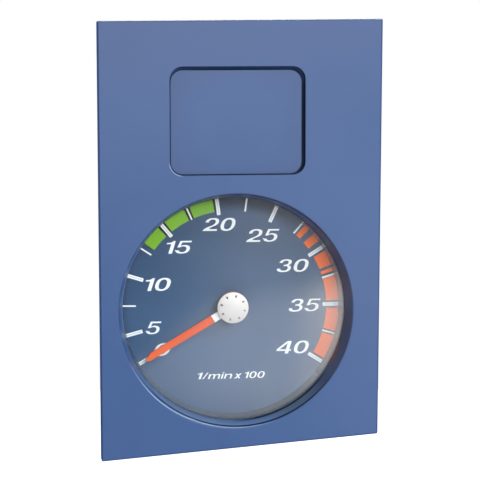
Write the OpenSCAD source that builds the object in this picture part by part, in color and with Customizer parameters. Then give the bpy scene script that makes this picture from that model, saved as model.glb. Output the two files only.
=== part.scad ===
// Panel tachometer with a moulded fascia, a blanked window and a deep-set dial.
// X runs to the right, Y runs back from the face, Z runs up.
// The origin is the centre of the four fixing inserts, on their seating plane.

/* [Fascia] */
// Width of the face plate
plate_w = 101; // [98:1:130]
// Height of the face plate at mid width
plate_h = 153.2; // [150:0.1:190]
// Thickness of the face plate
plate_t = 2.5; // [2:0.1:3.5]
// Slope of the bottom edge, rising to the right
foot_slant = 4.3; // [0:0.1:5]
// Slope of the top edge, rising to the right
head_slant = 0.4; // [0:0.1:1]
// Lean of the left-hand side, outwards at the head
left_lean = 0.1; // [0:0.05:1]
// Lean of the right-hand side, outwards at the head
right_lean = 0.45; // [0:0.05:1]
// Radius of the four corners
corner_r = 0.6; // [0.4:0.1:3]
// Rounding of the front edge
edge_round = 0.5; // [0.2:0.1:0.9]
// Height of the skirt behind the plate
skirt_h = 2; // [1:0.5:4]
// Wall of the skirt
skirt_t = 1.8; // [1.2:0.1:2.5]
// Thickness of the stiffening ribs
rib_t = 1.4; // [1:0.1:2]
// Height of the stiffening ribs
rib_h = 3.5; // [2:0.5:5]

/* [Window] */
// Width of the upper window
window_w = 48.5; // [40:0.1:52]
// Height of the upper window
window_h = 38.5; // [30:0.5:39]
// Sideways place of the window centre
window_x = -1; // [-3:0.1:3]
// Web between the window and the dial opening
window_web = 6.75; // [6.5:0.05:12]
// Corner radius of the window
window_r = 4.6; // [2:0.1:8]
// Depth of the blank's face behind the fascia's face
blank_depth = 0.9; // [0.8:0.1:2]
// Wall of the blank
blank_t = 1.5; // [1.2:0.1:2]
// Side lugs of the blank, beyond the window
blank_lug = 7; // [6.5:0.5:9]
// Gap between the blank and the window, at the left and the sill
blank_gap = 0.35; // [0.2:0.05:0.5]
// What the gap has in addition at the right and the head
blank_slack = 1; // [0:0.1:1.2]
// Diameter of the stakes that hold the blank
stake_d = 2.5; // [2:0.1:3]
// Distance of the stakes from the head and sill of the window
stake_inset = 8; // [6:0.5:10]
// Thickness of the push-on clips
clip_t = 0.5; // [0.3:0.1:0.8]

/* [Dial opening] */
// Sideways place of the dial centre
dial_x = -1.7; // [-2:0.1:2]
// Distance of the opening from the foot of the plate, at mid width
opening_foot = 7.4; // [6:0.1:12]
// Diameter of the opening at the face
opening_d = 84.2; // [80:0.1:85.5]
// Draft of the collar wall, by radius
collar_draft = 1.5; // [0.5:0.1:2]
// Depth of the collar in front of the seal
collar_depth = 6.8; // [5.5:0.1:9]
// Rounding of the lip of the opening
lip_r = 0.6; // [0.3:0.1:1]
// Wall of the collar
collar_wall = 2.4; // [1.8:0.1:2.5]

/* [Fixings] */
// Distance of the fixing inserts from the sides of the plate
fix_side = 7.5; // [6.5:0.1:8]
// Distance of the upper inserts below the head, at mid width
fix_head = 7; // [6.5:0.1:8]
// Distance of the lower inserts above the foot, at mid width
fix_foot = 10.2; // [10:0.1:11.5]
// Height of the fixing bosses behind the plate
boss_h = 9.5; // [8.5:0.5:12]
// Diameter of the fixing bosses
boss_d = 9; // [8.5:0.1:9.4]
// Bore of the brass inserts
insert_bore = 3.3; // [2.5:0.1:3.5]
// Outer diameter of the brass inserts
insert_d = 5.6; // [5:0.1:6]
// Length of the brass inserts
insert_len = 7.5; // [6:0.5:8]
// Flange diameter of the brass inserts
insert_head = 7.4; // [6.8:0.1:8]

/* [Glass and dial] */
// Thickness of the seal in front of the glass
seal_t = 0.6; // [0.4:0.1:1]
// Thickness of the glass
lens_t = 1.4; // [1.2:0.1:2]
// Depth of the glass rim behind its front face
lens_rim = 3; // [2.4:0.1:4]
// Wall of the glass rim
rim_t = 1.4; // [1:0.1:1.6]
// Distance from the glass to the dial
spacer_h = 6.2; // [6.2:0.1:8]
// Inner radius of the spacer ring at the dial
dial_r = 39.6; // [38.5:0.1:40.2]
// Flare of the spacer ring towards the glass
spacer_flare = 0.6; // [0.3:0.1:1]
// Thickness of the dial plate
dial_t = 0.8; // [0.6:0.1:1.2]
// Radius of the hole in the dial
dial_hole_r = 2.5; // [2:0.1:3]
// Thickness of the light guide
guide_t = 2.5; // [2:0.1:4]
// Radius of the hole in the light guide
guide_hole_r = 8; // [6:0.5:9]
// Gap between the stack of discs and the collar
stack_gap = 0.2; // [0.1:0.05:0.3]

/* [Pointer] */
// Length of the pointer from the centre to its tip
pointer_len = 37; // [30:0.1:38.5]
// Width of the pointer next to its white root
pointer_w = 2.8; // [2.4:0.1:4]
// Width of the pointer at the shoulder of its tip
pointer_tip_w = 2.3; // [1.6:0.1:3]
// Width of the cut end of the pointer
pointer_end_w = 1.1; // [0.8:0.1:2]
// Slant of that end, along the pointer
pointer_end_cut = 1.1; // [0.4:0.1:1.5]
// Length of the bevel at the tip
pointer_bevel = 2.9; // [1:0.1:4]
// Distance from the centre to the end of the white root
root_end = 8.3; // [7.5:0.1:12]
// Width of the white root at the hub
root_w = 2.7; // [2:0.1:3.2]
// Thickness of the pointer
pointer_t = 1; // [0.6:0.1:1.2]
// Gap between the pointer and the dial
pointer_gap = 2.4; // [1.8:0.1:2.6]
// Diameter of the orange hub under the cap
hub_d = 10.9; // [9:0.1:11.4]
// Diameter of the white cap
cap_d = 11.4; // [10:0.1:13]
// Height of the cap at its rim
cap_h = 1.3; // [0.8:0.1:1.4]
// Rise of the dome of the cap
cap_dome = 0.5; // [0.2:0.1:0.6]
// Radius of the ring of dimples
dimple_ring = 4.3; // [3:0.1:4.7]
// Number of dimples
dimple_count = 8; // [4:1:12]
// Diameter of each dimple
dimple_d = 0.8; // [0.5:0.1:1]
// Depth of each dimple
dimple_h = 0.5; // [0.3:0.1:0.6]
// Angle of the pointer at rest, from the right-hand side
rest_angle = 210.5; // [200:0.5:220]
// Travel of the pointer over the scale
travel = 242.9; // [200:0.1:260]

/* [Movement] */
// Diameter of the spindle
spindle_d = 1.5; // [1:0.1:1.8]
// Running clearance of the spindle, by radius
run_gap = 0.03; // [0.01:0.01:0.08]
// Diameter of the rotor magnet
rotor_d = 13.6; // [10:0.1:14]
// Thickness of the rotor magnet
rotor_t = 4; // [3:0.1:4.4]
// Clearance round the rotor magnet
rotor_gap = 0.5; // [0.3:0.1:0.6]
// Half width of the coil former
former_r = 10.4; // [10:0.1:11]
// Depth of the coil former
former_h = 9; // [8:0.1:11]
// Thickness of each winding
coil_t = 1.9; // [1:0.1:2.5]
// Distance from the centre line to the inside of a half winding
coil_in = 2.4; // [2.3:0.1:3]
// Distance from the centre line to the outside of a half winding
coil_out = 7.2; // [6:0.1:7.3]
// Radius of the bearing sleeves
sleeve_r = 2.2; // [2:0.1:2.25]
// Radius of the bearing bushes
bush_r = 1.5; // [1.3:0.1:1.6]
// Length of the bearing bushes
bush_len = 3; // [2:0.1:3]
// Inner radius of the shield can
can_r = 15.6; // [15.2:0.1:17]
// Wall of the shield can
can_t = 0.8; // [0.5:0.1:1]
// Clearance between the windings and the shield can
can_gap = 0.6; // [0.4:0.1:1]
// Thickness of the stop sector
sector_t = 0.6; // [0.4:0.1:0.8]
// Gap in front of and behind the stop sector
sector_gap = 0.6; // [0.4:0.1:1]
// Radius of the zero stop pin
stop_r = 0.6; // [0.4:0.1:0.8]
// Overtravel allowed past the last mark
overtravel = 3; // [1:0.5:6]

/* [Case] */
// Outer radius of the case body
case_r = 40.6; // [40:0.1:42]
// Wall of the case
case_t = 2.1; // [1.6:0.1:2.5]
// Radius of the case flange
flange_r = 46.8; // [46:0.1:47]
// Thickness of the case flange
flange_t = 2.2; // [1.8:0.1:3]
// Radius of the circle of the case screws
ear_ring = 50; // [49.5:0.1:50.5]
// Radius of each ear round its screw
ear_r = 4.4; // [4:0.1:4.6]
// Diameter of the case screws
case_screw_d = 3; // [2.5:0.1:3.5]
// Grip of the case screws in the fascia
case_screw_len = 7; // [5:0.5:9]
// Number of gussets round the case
gusset_count = 12; // [6:1:16]
// Gap between the spigot and the case flange
spigot_gap = 0.4; // [0.3:0.1:0.8]

/* [Board] */
// Radius of the circuit board
board_r = 36.4; // [35.5:0.1:37.5]
// Thickness of the circuit board
board_t = 1.6; // [1:0.1:2]
// Height of the posts that carry the board
post_h = 10.4; // [10:0.1:14]
// Radius of the posts
post_r = 3.2; // [2.6:0.1:3.4]
// Radius of the circle of the posts
post_ring = 31; // [30:0.1:32]
// Diameter of the board screws
board_screw_d = 2.2; // [2:0.1:2.6]
// Grip of the board screws in their posts
board_screw_len = 7; // [5:0.5:8]
// Diameter of the capacitors
cap_can_d = 8; // [6:0.5:8.5]
// Height of the capacitors
cap_can_h = 11; // [8:0.5:12]
// Radius of the circle of the capacitors
cap_ring = 26.4; // [26:0.1:28]
// Length of the driver chip
chip_len = 19.4; // [15:0.1:20]
// Width of the driver chip's body
chip_w = 6.4; // [6:0.1:7]
// Thickness of the driver chip's body
chip_t = 3.5; // [3:0.1:4]
// Distance of the chip to the left of the dial centre
chip_x = 27; // [26.5:0.1:28]
// Distance of the chip below the dial centre
chip_drop = 3; // [2:0.1:4]
// Diameter of the resistors
resistor_d = 2.3; // [2:0.1:2.6]
// Length of the resistors' bodies
resistor_len = 6.2; // [5.5:0.1:6.6]
// Distance between the two legs of a resistor
resistor_span = 8; // [7.5:0.1:9]
// Sideways distance of the resistors from the dial centre
resistor_x = 8; // [7:0.1:9]
// Height of the resistors above the dial centre
resistor_z = 22; // [21.5:0.1:23]
// Distance between the two rows of resistors
resistor_row = 5; // [4:0.1:6]
// Thickness of the wire legs
lead_d = 0.6; // [0.5:0.1:0.8]

/* [Lamps and terminals] */
// Sideways distance of the lamps from the dial centre
lamp_x = 22.9; // [22:0.1:24]
// Height of the lamps above the dial centre
lamp_z = 16.1; // [16:0.1:17]
// Diameter of the lamp glass
lamp_d = 10; // [8:0.5:10]
// Length of the lamp glass
lamp_len = 24; // [18:0.5:25]
// Radius of the lamp holder body
holder_r = 7.5; // [7:0.1:8]
// Radius over the locking lugs
lug_r = 9.3; // [8.8:0.1:9.8]
// Width of each locking lug, as an angle
lug_angle = 40; // [25:1:50]
// Turn from locked to released
release_turn = 80; // [60:1:100]
// Radius of the flange of the lamp holder
grip_flange_r = 10.5; // [10:0.1:11]
// Height of the grip of the lamp holder
grip_h = 6; // [4:0.5:8]
// Thickness of the grip of the lamp holder
grip_t = 3.4; // [3:0.1:5]
// Depth of the lamp holder inside the case
socket_depth = 6.7; // [5:0.1:7]
// Running gap of the lamp holder
holder_gap = 0.3; // [0.2:0.1:0.5]
// Width of the terminal blades
blade_w = 6.3; // [4.8:0.1:6.3]
// Thickness of the terminal blades
blade_t = 0.8; // [0.5:0.1:1]
// Length of the blades outside the strip
blade_out = 9; // [7:0.5:12]
// Distance between the blades
blade_pitch = 9; // [8.5:0.1:9.5]
// Distance of the blades below the dial centre
blade_drop = 24; // [23:0.5:25]
// Thickness of the terminal strip outside the case
strip_t = 3; // [2:0.5:4]
// Height of the terminal strip
strip_h = 10; // [9:0.5:12]
// Height of the strip's neck in the wall of the case
neck_h = 6; // [5:0.1:7]

/* [Hidden] */
$fn = 96;

fascia_blue = [0.33, 0.41, 0.62];
dial_blue = [0.38, 0.45, 0.56];
pointer_orange = [0.92, 0.4, 0.24];
cap_white = [0.93, 0.93, 0.9];
black_plastic = [0.1, 0.1, 0.11];
cream_plastic = [0.85, 0.82, 0.72];
brass = [0.78, 0.63, 0.3];
steel = [0.7, 0.71, 0.73];
copper = [0.72, 0.4, 0.2];
clear = [0.85, 0.9, 0.95, 0.35];

// Places on the face, from the edges of the plate inwards
fix_w = plate_w - 2 * fix_side;
fix_h = plate_h - fix_head - fix_foot;
head_z = fix_h / 2 + fix_head;
foot_z = head_z - plate_h;
dial_z = foot_z + opening_foot + opening_d / 2;
window_z = dial_z + opening_d / 2 + window_web + window_h / 2;

// Depths behind the face, in the order in which the pieces stack
front_y = -(plate_t + boss_h);
skirt_d = plate_t + skirt_h;
rib_d = plate_t + rib_h;
d_seal = collar_depth;
d_lens = d_seal + seal_t;
d_spacer = d_lens + lens_t;
d_dial = d_spacer + spacer_h;
d_guide = d_dial + dial_t;
d_case = d_guide + guide_t;
d_sector = d_case + sector_gap;
d_can = d_sector + sector_t + sector_gap;
d_coil = d_can + can_gap;
d_former = d_coil + 2 * coil_t;
d_rotor = d_former + former_h / 2;
d_former_back = d_former + former_h;
d_coil_back = d_former_back + 2 * coil_t;
d_can_floor = d_coil_back + can_gap;
d_board = d_can_floor + can_t;
d_board_back = d_board + board_t;
d_floor = d_board_back + post_h;
d_back = d_floor + case_t;
d_strip = d_back + strip_t;

// Radii of the opening, the collar and the stack of discs inside it
opening_r = opening_d / 2;
ledge_r = opening_r - collar_draft;
stack_r = opening_r + 1.1;
spigot_in = stack_r + stack_gap;
spigot_out = spigot_in + collar_wall;
collar_out = opening_r + lip_r + collar_wall / 2;
rim_in = stack_r - rim_t;
ledge_t = 2;
lead_in = 0.4;
lap = 0.4;

// Window blank and its stakes
pad_w = window_w - 2 * blank_gap - blank_slack;
pad_h = window_h - 2 * blank_gap - blank_slack;
lug_w = blank_lug - 2 * blank_gap;
flange_lap = 1.8;
stake_x = window_w / 2 + blank_lug / 2;
stake_z = window_h / 2 - stake_inset;
frame_t = 1.5;
frame_gap = 0.4;
pocket_w = window_w + 2 * blank_lug + 2 * frame_gap;
pocket_h = window_h + 2 * flange_lap + 2 * frame_gap;
stake_end = plate_t + blank_t + clip_t + 1.5;

// Places of the bosses and ears, as seen from the front
fix_points = [for (sx = [-1, 1], sz = [-1, 1]) [sx * fix_w / 2, sz * fix_h / 2]];
ear_angles = [30, 150, 210, 330];
post_angles = [90, 235, 305];
cap_angles = [-2.2, -26.6];
pillar = 2.8;
pillar_at = former_r - pillar / 2;
ear_boss_r = ear_r - 0.8;
pilot_gap = 0.05;
neck_gap = 0.2;
strip_w = 2 * blade_pitch + blade_w;
insert_rim = 0.6;

// Pointer stack, from the dial towards the glass
d_pointer = d_dial - pointer_gap - pointer_t;
d_hub_back = d_dial - pointer_gap + 0.8;
d_cap_back = d_pointer - 0.5;
d_cap_rim = d_cap_back - cap_h;
d_cap_top = d_cap_rim - cap_dome;
spindle_r = spindle_d / 2;
d_spindle = d_cap_back + 0.3;
d_rear_pit = d_former_back + 1;
spindle_end_gap = 0.2;

// The stop sector fills the part of the turn that the pointer does not use
pin_ring = pillar_at * sqrt(2);
pin_angle = 45;
pin_half = asin(stop_r / pin_ring);
rest_gap = 0.6;
sector_lead = pin_half + rest_gap;
sector_width = 360 - travel - sector_lead - pin_half - overtravel;
sector_r = pin_ring + 0.8;

cavity_r = rotor_d / 2 + rotor_gap;
cavity_h = rotor_t + 2 * rotor_gap;

// Points of an arc about a centre
function arc_pts(cx, cz, r, a0, a1, n = 8) =
    [for (i = [0:n]) let (a = a0 + (a1 - a0) * i / n) [cx + r * cos(a), cz + r * sin(a)]];

// Half widths of the plate at a height above the origin
function left_at(z) = plate_w / 2 + z * tan(left_lean);
function right_at(z) = plate_w / 2 + z * tan(right_lean);

// Heights of the two sloping edges at a place across the plate
function head_at(x) = head_z + x * tan(head_slant);
function foot_at(x) = foot_z + x * tan(foot_slant);

// Outline of the plate, drawn in by an inset
function plate_pts(inset) =
    let (
        r = max(corner_r - inset, 0.05),
        in = inset + r,
        up = in / cos(head_slant),
        down = in / cos(foot_slant),
        x1 = right_at(head_at(plate_w / 2) - up) - in / cos(right_lean),
        x2 = -left_at(head_at(-plate_w / 2) - up) + in / cos(left_lean),
        x3 = -left_at(foot_at(-plate_w / 2) + down) + in / cos(left_lean),
        x4 = right_at(foot_at(plate_w / 2) + down) - in / cos(right_lean)
    )
    concat(
        arc_pts(x1, head_at(x1) - up, r, -right_lean, 90 + head_slant, 4),
        arc_pts(x2, head_at(x2) - up, r, 90 + head_slant, 180 + left_lean, 4),
        arc_pts(x3, foot_at(x3) + down, r, 180 + left_lean, 270 + foot_slant, 4),
        arc_pts(x4, foot_at(x4) + down, r, 270 + foot_slant, 360 - right_lean, 4)
    );

// Rectangle with rounded corners about its centre
module rounded_rect(w, h, r) {
    polygon(concat(
        arc_pts(w / 2 - r, h / 2 - r, r, 0, 90),
        arc_pts(r - w / 2, h / 2 - r, r, 90, 180),
        arc_pts(r - w / 2, r - h / 2, r, 180, 270),
        arc_pts(w / 2 - r, r - h / 2, r, 270, 360)
    ));
}

// A shape drawn as seen from the front, between two depths
module between(d0, d1) {
    translate([0, front_y + d1, 0])
        rotate([90, 0, 0])
            linear_extrude(d1 - d0)
                children();
}

// The same, about the dial centre
module on_dial(d0, d1) {
    translate([dial_x, 0, dial_z])
        between(d0, d1)
            children();
}

// A turned piece about a line parallel to Y, with points of radius and depth
module turned(points, x = 0, z = 0) {
    translate([dial_x + x, front_y, dial_z + z])
        rotate([-90, 0, 0])
            rotate_extrude()
                polygon(points);
}

// A sector of a disc, as seen from the front
module sector(r, a0, a1) {
    polygon(concat([[0, 0]], arc_pts(0, 0, r, a0, a1, 24)));
}

// A pan-head screw whose head lies behind the depth of its seat
module screw_back(x, z, d, seat, tip, head_r, head_h) {
    difference() {
        turned([
            [0, tip], [d / 2 - 0.4, tip], [d / 2, tip + 0.6], [d / 2, seat], [head_r, seat],
            [head_r, seat + head_h * 0.55], [head_r * 0.72, seat + head_h], [0, seat + head_h]
        ], x, z);
        translate([dial_x + x, front_y + seat + head_h * 0.75, dial_z + z]) {
            cube([head_r * 1.1, head_h * 0.9, head_r * 0.25], center = true);
            cube([head_r * 0.25, head_h * 0.9, head_r * 1.1], center = true);
        }
    }
}

// Section: fascia

// Collar with its rounded lip, its ledge for the seal and the spigot behind it
module collar() {
    turned(concat(
        [for (i = [0:6]) let (a = 15 * i)
            [opening_r + lip_r * (1 - sin(a)), lip_r * (1 - cos(a))]],
        [
            [ledge_r, d_seal], [spigot_in, d_seal],
            [spigot_in, d_case - spigot_gap - lead_in],
            [spigot_in + lead_in, d_case - spigot_gap],
            [spigot_out, d_case - spigot_gap],
            [spigot_out, d_seal - ledge_t],
            [collar_out, d_seal - ledge_t - 0.5],
            [collar_out, 0]
        ]
    ));
}

// Rib at a height, from a place across the plate out to the skirt of one side
module side_tie(s, from, z) {
    edge_x = (s > 0 ? right_at(z) : left_at(z)) - skirt_t / 2;
    translate([s > 0 ? from : -edge_x, z - rib_t / 2])
        square([edge_x - from, rib_t]);
}

// Ribs behind the plate, from the skirt to the bosses and the window frame
module fascia_ribs() {
    frame_x = pocket_w / 2;
    frame_z = pocket_h / 2;
    between(plate_t - lap, rib_d) {
        for (s = [-1, 1]) {
            // spine between the upper and lower bosses
            translate([s * fix_w / 2 - rib_t / 2, dial_z + ear_ring * sin(30)])
                square([rib_t, fix_h / 2 - dial_z - ear_ring * sin(30)]);
            // ties from the window frame to the side of the plate
            for (z = [window_z - window_h / 2, window_z + window_h / 2])
                side_tie(s, frame_x + s * window_x, z);
            // ties from the lower bosses to the foot and the sides
            translate([s * fix_w / 2 - rib_t / 2, foot_at(s * fix_w / 2) + skirt_t / 2])
                square([rib_t, -fix_h / 2 - foot_at(s * fix_w / 2) - skirt_t / 2]);
            for (z = [-fix_h / 2, fix_h / 2])
                side_tie(s, fix_w / 2, z);
        }
        // ties from the window frame to the top of the plate
        tie = head_at(0) - skirt_t / 2 - window_z - frame_z;
        for (x = [-window_w / 3, 0, window_w / 3])
            translate([window_x + x - rib_t / 2, window_z + frame_z + min(tie, 0)])
                square([rib_t, abs(tie)]);
    }
}

// Locating frame round the back of the window, open where it would meet the spigot
module window_frame() {
    translate([window_x, 0, window_z])
        between(plate_t - lap, rib_d)
            difference() {
                rounded_rect(pocket_w + 2 * frame_t, pocket_h + 2 * frame_t, frame_t + 1);
                rounded_rect(pocket_w, pocket_h, 1);
                translate([-pocket_w / 2 - 2 * frame_t, -pocket_h / 2 - 2 * frame_t])
                    square([pocket_w + 4 * frame_t, 2 * frame_t + 1.5]);
            }
}

module fascia() {
    color(fascia_blue)
        difference() {
            union() {
                difference() {
                    union() {
                        // face plate with its front edge rounded in three steps
                        hull()
                            for (k = [0, 45, 90])
                                between(edge_round * (1 - cos(k)), plate_t)
                                    polygon(plate_pts(edge_round * (1 - sin(k))));
                        between(plate_t - lap, skirt_d)
                            difference() {
                                polygon(plate_pts(0));
                                polygon(plate_pts(skirt_t));
                            }
                        fascia_ribs();
                        window_frame();
                    }
                    // clear the collar's bore, which it fills again with its own wall
                    on_dial(-1, d_case)
                        circle(r = collar_out - lap);
                    // keep the skirt and the ribs out of the blank's pocket
                    translate([window_x, 0, window_z])
                        between(plate_t, rib_d + 1)
                            rounded_rect(pocket_w, pocket_h, 1);
                }
                collar();
                for (p = fix_points)
                    translate([p[0], 0, p[1]])
                        between(plate_t - lap, plate_t + boss_h)
                            circle(d = boss_d, $fn = 48);
                for (a = ear_angles)
                    on_dial(plate_t - lap, d_case)
                        translate([ear_ring * cos(a), ear_ring * sin(a)])
                            circle(r = ear_boss_r, $fn = 48);
                // stakes for the window blank
                for (sx = [-1, 1], sz = [-1, 1])
                    translate([window_x + sx * stake_x, 0, window_z + sz * stake_z])
                        between(plate_t - lap, stake_end)
                            circle(d = stake_d, $fn = 32);
            }
            translate([window_x, 0, window_z])
                between(-1, rib_d + 1)
                    rounded_rect(window_w, window_h, window_r);
            for (p = fix_points)
                translate([p[0], 0, p[1]]) {
                    between(plate_t + boss_h - insert_len - 0.5, plate_t + boss_h + 1)
                        circle(d = insert_d + 2 * pilot_gap, $fn = 48);
                    between(plate_t + boss_h - insert_rim, plate_t + boss_h + 1)
                        circle(d = insert_head + 2 * pilot_gap, $fn = 48);
                }
            for (a = ear_angles)
                on_dial(d_case - case_screw_len - 3, d_case + 1)
                    translate([ear_ring * cos(a), ear_ring * sin(a)])
                        circle(d = case_screw_d + 2 * pilot_gap, $fn = 32);
            // keep the ribs and the ear bosses out of the stack and the bore
            on_dial(d_seal, d_case + 1)
                circle(r = spigot_in);
        }
}

// Blue tray that closes the upper window from behind
module window_blank() {
    color(fascia_blue)
        translate([window_x, 0, window_z])
            difference() {
                union() {
                    between(blank_depth, plate_t + lap)
                        translate([-blank_slack / 2, -blank_slack / 2])
                            rounded_rect(pad_w, pad_h, window_r - blank_gap);
                    between(plate_t, plate_t + blank_t)
                        union() {
                            rounded_rect(window_w + 2 * lug_w, 2 * stake_z + stake_inset, 2);
                            rounded_rect(window_w + 2 * flange_lap, window_h + 2 * flange_lap, 2);
                        }
                }
                // hollow back, so that the wall is even
                between(blank_depth + blank_t, plate_t + blank_t + 1)
                    translate([-blank_slack / 2, -blank_slack / 2])
                        rounded_rect(pad_w - 2 * blank_t, pad_h - 2 * blank_t, window_r - blank_t);
                for (sx = [-1, 1], sz = [-1, 1])
                    translate([sx * stake_x, 0, sz * stake_z])
                        between(plate_t - 1, plate_t + blank_t + 1)
                            circle(d = stake_d + 4 * pilot_gap, $fn = 32);
            }
}

// Push-on spring clips on the four stakes
module blank_clips() {
    color(steel)
        for (sx = [-1, 1], sz = [-1, 1])
            translate([window_x + sx * stake_x, 0, window_z + sz * stake_z])
                between(plate_t + blank_t, plate_t + blank_t + clip_t)
                    difference() {
                        circle(d = stake_d + 4, $fn = 32);
                        circle(d = stake_d + 2 * pilot_gap, $fn = 32);
                        for (a = [0, 60, 120])
                            rotate(a)
                                square([stake_d + 1.6, 0.5], center = true);
                    }
}

// Brass inserts, each with a seating flange and a waist between two knurled lands
module fixing_inserts() {
    seat = plate_t + boss_h - insert_rim;
    tip = plate_t + boss_h - insert_len;
    r = insert_d / 2;
    color(brass)
        for (p = fix_points)
            turned([
                [insert_bore / 2, tip], [r - 0.3, tip], [r, tip + 0.4],
                [r, tip + insert_len * 0.35], [r - 0.4, tip + insert_len * 0.35],
                [r - 0.4, tip + insert_len * 0.55], [r, tip + insert_len * 0.55],
                [r, seat], [insert_head / 2, seat],
                [insert_head / 2, plate_t + boss_h], [insert_bore / 2, plate_t + boss_h]
            ], p[0] - dial_x, p[1] - dial_z);
}

// Section: glass, dial and light guide

module lens_seal() {
    color(black_plastic)
        turned([
            [ledge_r + 0.15, d_seal], [stack_r, d_seal], [stack_r, d_lens], [ledge_r + 0.15, d_lens]
        ]);
}

module lens() {
    color(clear)
        turned([
            [0, d_lens], [stack_r - 0.3, d_lens], [stack_r, d_lens + 0.3],
            [stack_r, d_lens + lens_rim], [rim_in, d_lens + lens_rim],
            [rim_in, d_spacer], [0, d_spacer]
        ]);
}

module spacer_ring() {
    step = d_lens + lens_rim;
    color("slategray")
        turned([
            [dial_r + spacer_flare, d_spacer], [rim_in - pilot_gap, d_spacer],
            [rim_in - pilot_gap, step + 0.1], [stack_r, step + 0.1],
            [stack_r, d_dial], [dial_r, d_dial]
        ]);
}

module dial_plate() {
    color(dial_blue)
        on_dial(d_dial, d_guide)
            difference() {
                circle(r = stack_r);
                circle(r = dial_hole_r, $fn = 48);
            }
}

// Clear disc that spreads the lamps' light behind the dial
module light_guide() {
    color(clear)
        on_dial(d_guide, d_case)
            difference() {
                circle(r = stack_r);
                circle(r = guide_hole_r);
            }
}

// Section: pointer and its spindle

// Outline of the pointer along +X, with the bevel on its leading side
module pointer_outline() {
    polygon([
        [0, -root_w / 2], [hub_d / 2 - 0.5, -root_w / 2], [root_end, -pointer_w / 2],
        [pointer_len - pointer_bevel, -pointer_tip_w / 2],
        [pointer_len, pointer_tip_w / 2 - pointer_end_w],
        [pointer_len - pointer_end_cut, pointer_tip_w / 2],
        [root_end, pointer_w / 2], [hub_d / 2 - 0.5, root_w / 2], [0, root_w / 2]
    ]);
}

module pointer() {
    color(pointer_orange)
        difference() {
            union() {
                on_dial(d_pointer, d_pointer + pointer_t)
                    rotate(rest_angle)
                        pointer_outline();
                turned([
                    [0, d_cap_back], [hub_d / 2 - 0.2, d_cap_back], [hub_d / 2, d_cap_back + 0.2],
                    [hub_d / 2, d_pointer + pointer_t], [hub_d / 2 - 1.4, d_hub_back],
                    [0, d_hub_back]
                ]);
            }
            on_dial(d_spindle, d_hub_back + 1)
                circle(r = spindle_r + run_gap, $fn = 32);
        }
}

module pointer_cap() {
    r = cap_d / 2;
    color(cap_white)
        difference() {
            turned(concat(
                [[0, d_cap_back], [r - 0.2, d_cap_back], [r, d_cap_back - 0.2]],
                [for (i = [0:8]) let (t = i / 8)
                    [(r - 0.25) * (1 - t) + (t == 0 ? 0.25 : 0),
                        d_cap_top + (cap_dome + (t == 0 ? 0.2 : 0)) * pow(1 - t, 2)]]
            ));
            // ring of dimples, one of them in line with the pointer
            for (k = [0:dimple_count - 1])
                on_dial(d_cap_top - 1, d_cap_rim + dimple_h - cap_dome / 3)
                    rotate(rest_angle + k * 360 / dimple_count)
                        translate([dimple_ring, 0])
                            circle(d = dimple_d, $fn = 16);
        }
}

module spindle() {
    tip = d_rear_pit + bush_len - 0.6 - spindle_end_gap;
    color(steel)
        turned([
            [0, d_spindle], [spindle_r - 0.2, d_spindle], [spindle_r, d_spindle + 0.2],
            [spindle_r, tip - 0.4], [spindle_r - 0.4, tip], [0, tip]
        ]);
}

module rotor_magnet() {
    color("dimgray")
        on_dial(d_rotor - rotor_t / 2, d_rotor + rotor_t / 2)
            difference() {
                circle(d = rotor_d);
                circle(r = spindle_r + run_gap, $fn = 32);
            }
}

// Brass sector on the spindle that meets the stop pin at either end of the travel
module stop_sector() {
    color(brass)
        difference() {
            on_dial(d_sector, d_sector + sector_t)
                union() {
                    sector(sector_r, pin_angle - sector_lead - sector_width, pin_angle - sector_lead);
                    circle(r = sleeve_r, $fn = 32);
                }
            on_dial(d_sector - 1, d_sector + sector_t + 1)
                circle(r = spindle_r + run_gap, $fn = 32);
        }
}

module zero_stop_pin() {
    color(steel)
        on_dial(d_sector, d_former)
            translate([pillar_at, pillar_at])
                circle(r = stop_r, $fn = 32);
}

// Section: coils and their former

// Four posts at the corners of the former, clear of both windings
module pillars(d0, d1) {
    on_dial(d0, d1)
        for (sx = [-1, 1], sz = [-1, 1])
            translate([sx * pillar_at, sz * pillar_at])
                square(pillar, center = true);
}

module former_front() {
    color(cream_plastic)
        difference() {
            union() {
                on_dial(d_former, d_rotor)
                    square(2 * former_r, center = true);
                pillars(d_coil, d_former + lap);
                on_dial(d_coil, d_former + lap)
                    circle(r = sleeve_r, $fn = 48);
            }
            on_dial(d_rotor - cavity_h / 2, d_rotor + 1)
                circle(r = cavity_r);
            on_dial(d_coil - 1, d_coil + bush_len)
                circle(r = bush_r + pilot_gap / 2, $fn = 48);
            on_dial(d_coil, d_rotor)
                circle(r = spindle_r + 0.25, $fn = 32);
            on_dial(d_coil - 1, d_former + 1)
                translate([pillar_at, pillar_at])
                    circle(r = stop_r + pilot_gap / 2, $fn = 32);
        }
}

module former_rear() {
    color(cream_plastic)
        difference() {
            union() {
                on_dial(d_rotor, d_former_back)
                    square(2 * former_r, center = true);
                pillars(d_former_back - lap, d_can_floor);
                on_dial(d_former_back - lap, d_coil_back)
                    circle(r = sleeve_r, $fn = 48);
            }
            on_dial(d_rotor - 1, d_rotor + cavity_h / 2)
                circle(r = cavity_r);
            on_dial(d_rotor, d_rear_pit + bush_len)
                circle(r = bush_r + pilot_gap / 2, $fn = 48);
            for (s = [-1, 1])
                on_dial(d_former_back, d_can_floor + 1)
                    translate([s * pillar_at, -s * pillar_at])
                        circle(r = 0.85 + pilot_gap, $fn = 32);
            on_dial(d_former_back - 2, d_can_floor + 1)
                translate([-pillar_at, -pillar_at])
                    circle(r = 0.8 + pilot_gap, $fn = 32);
        }
}

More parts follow.
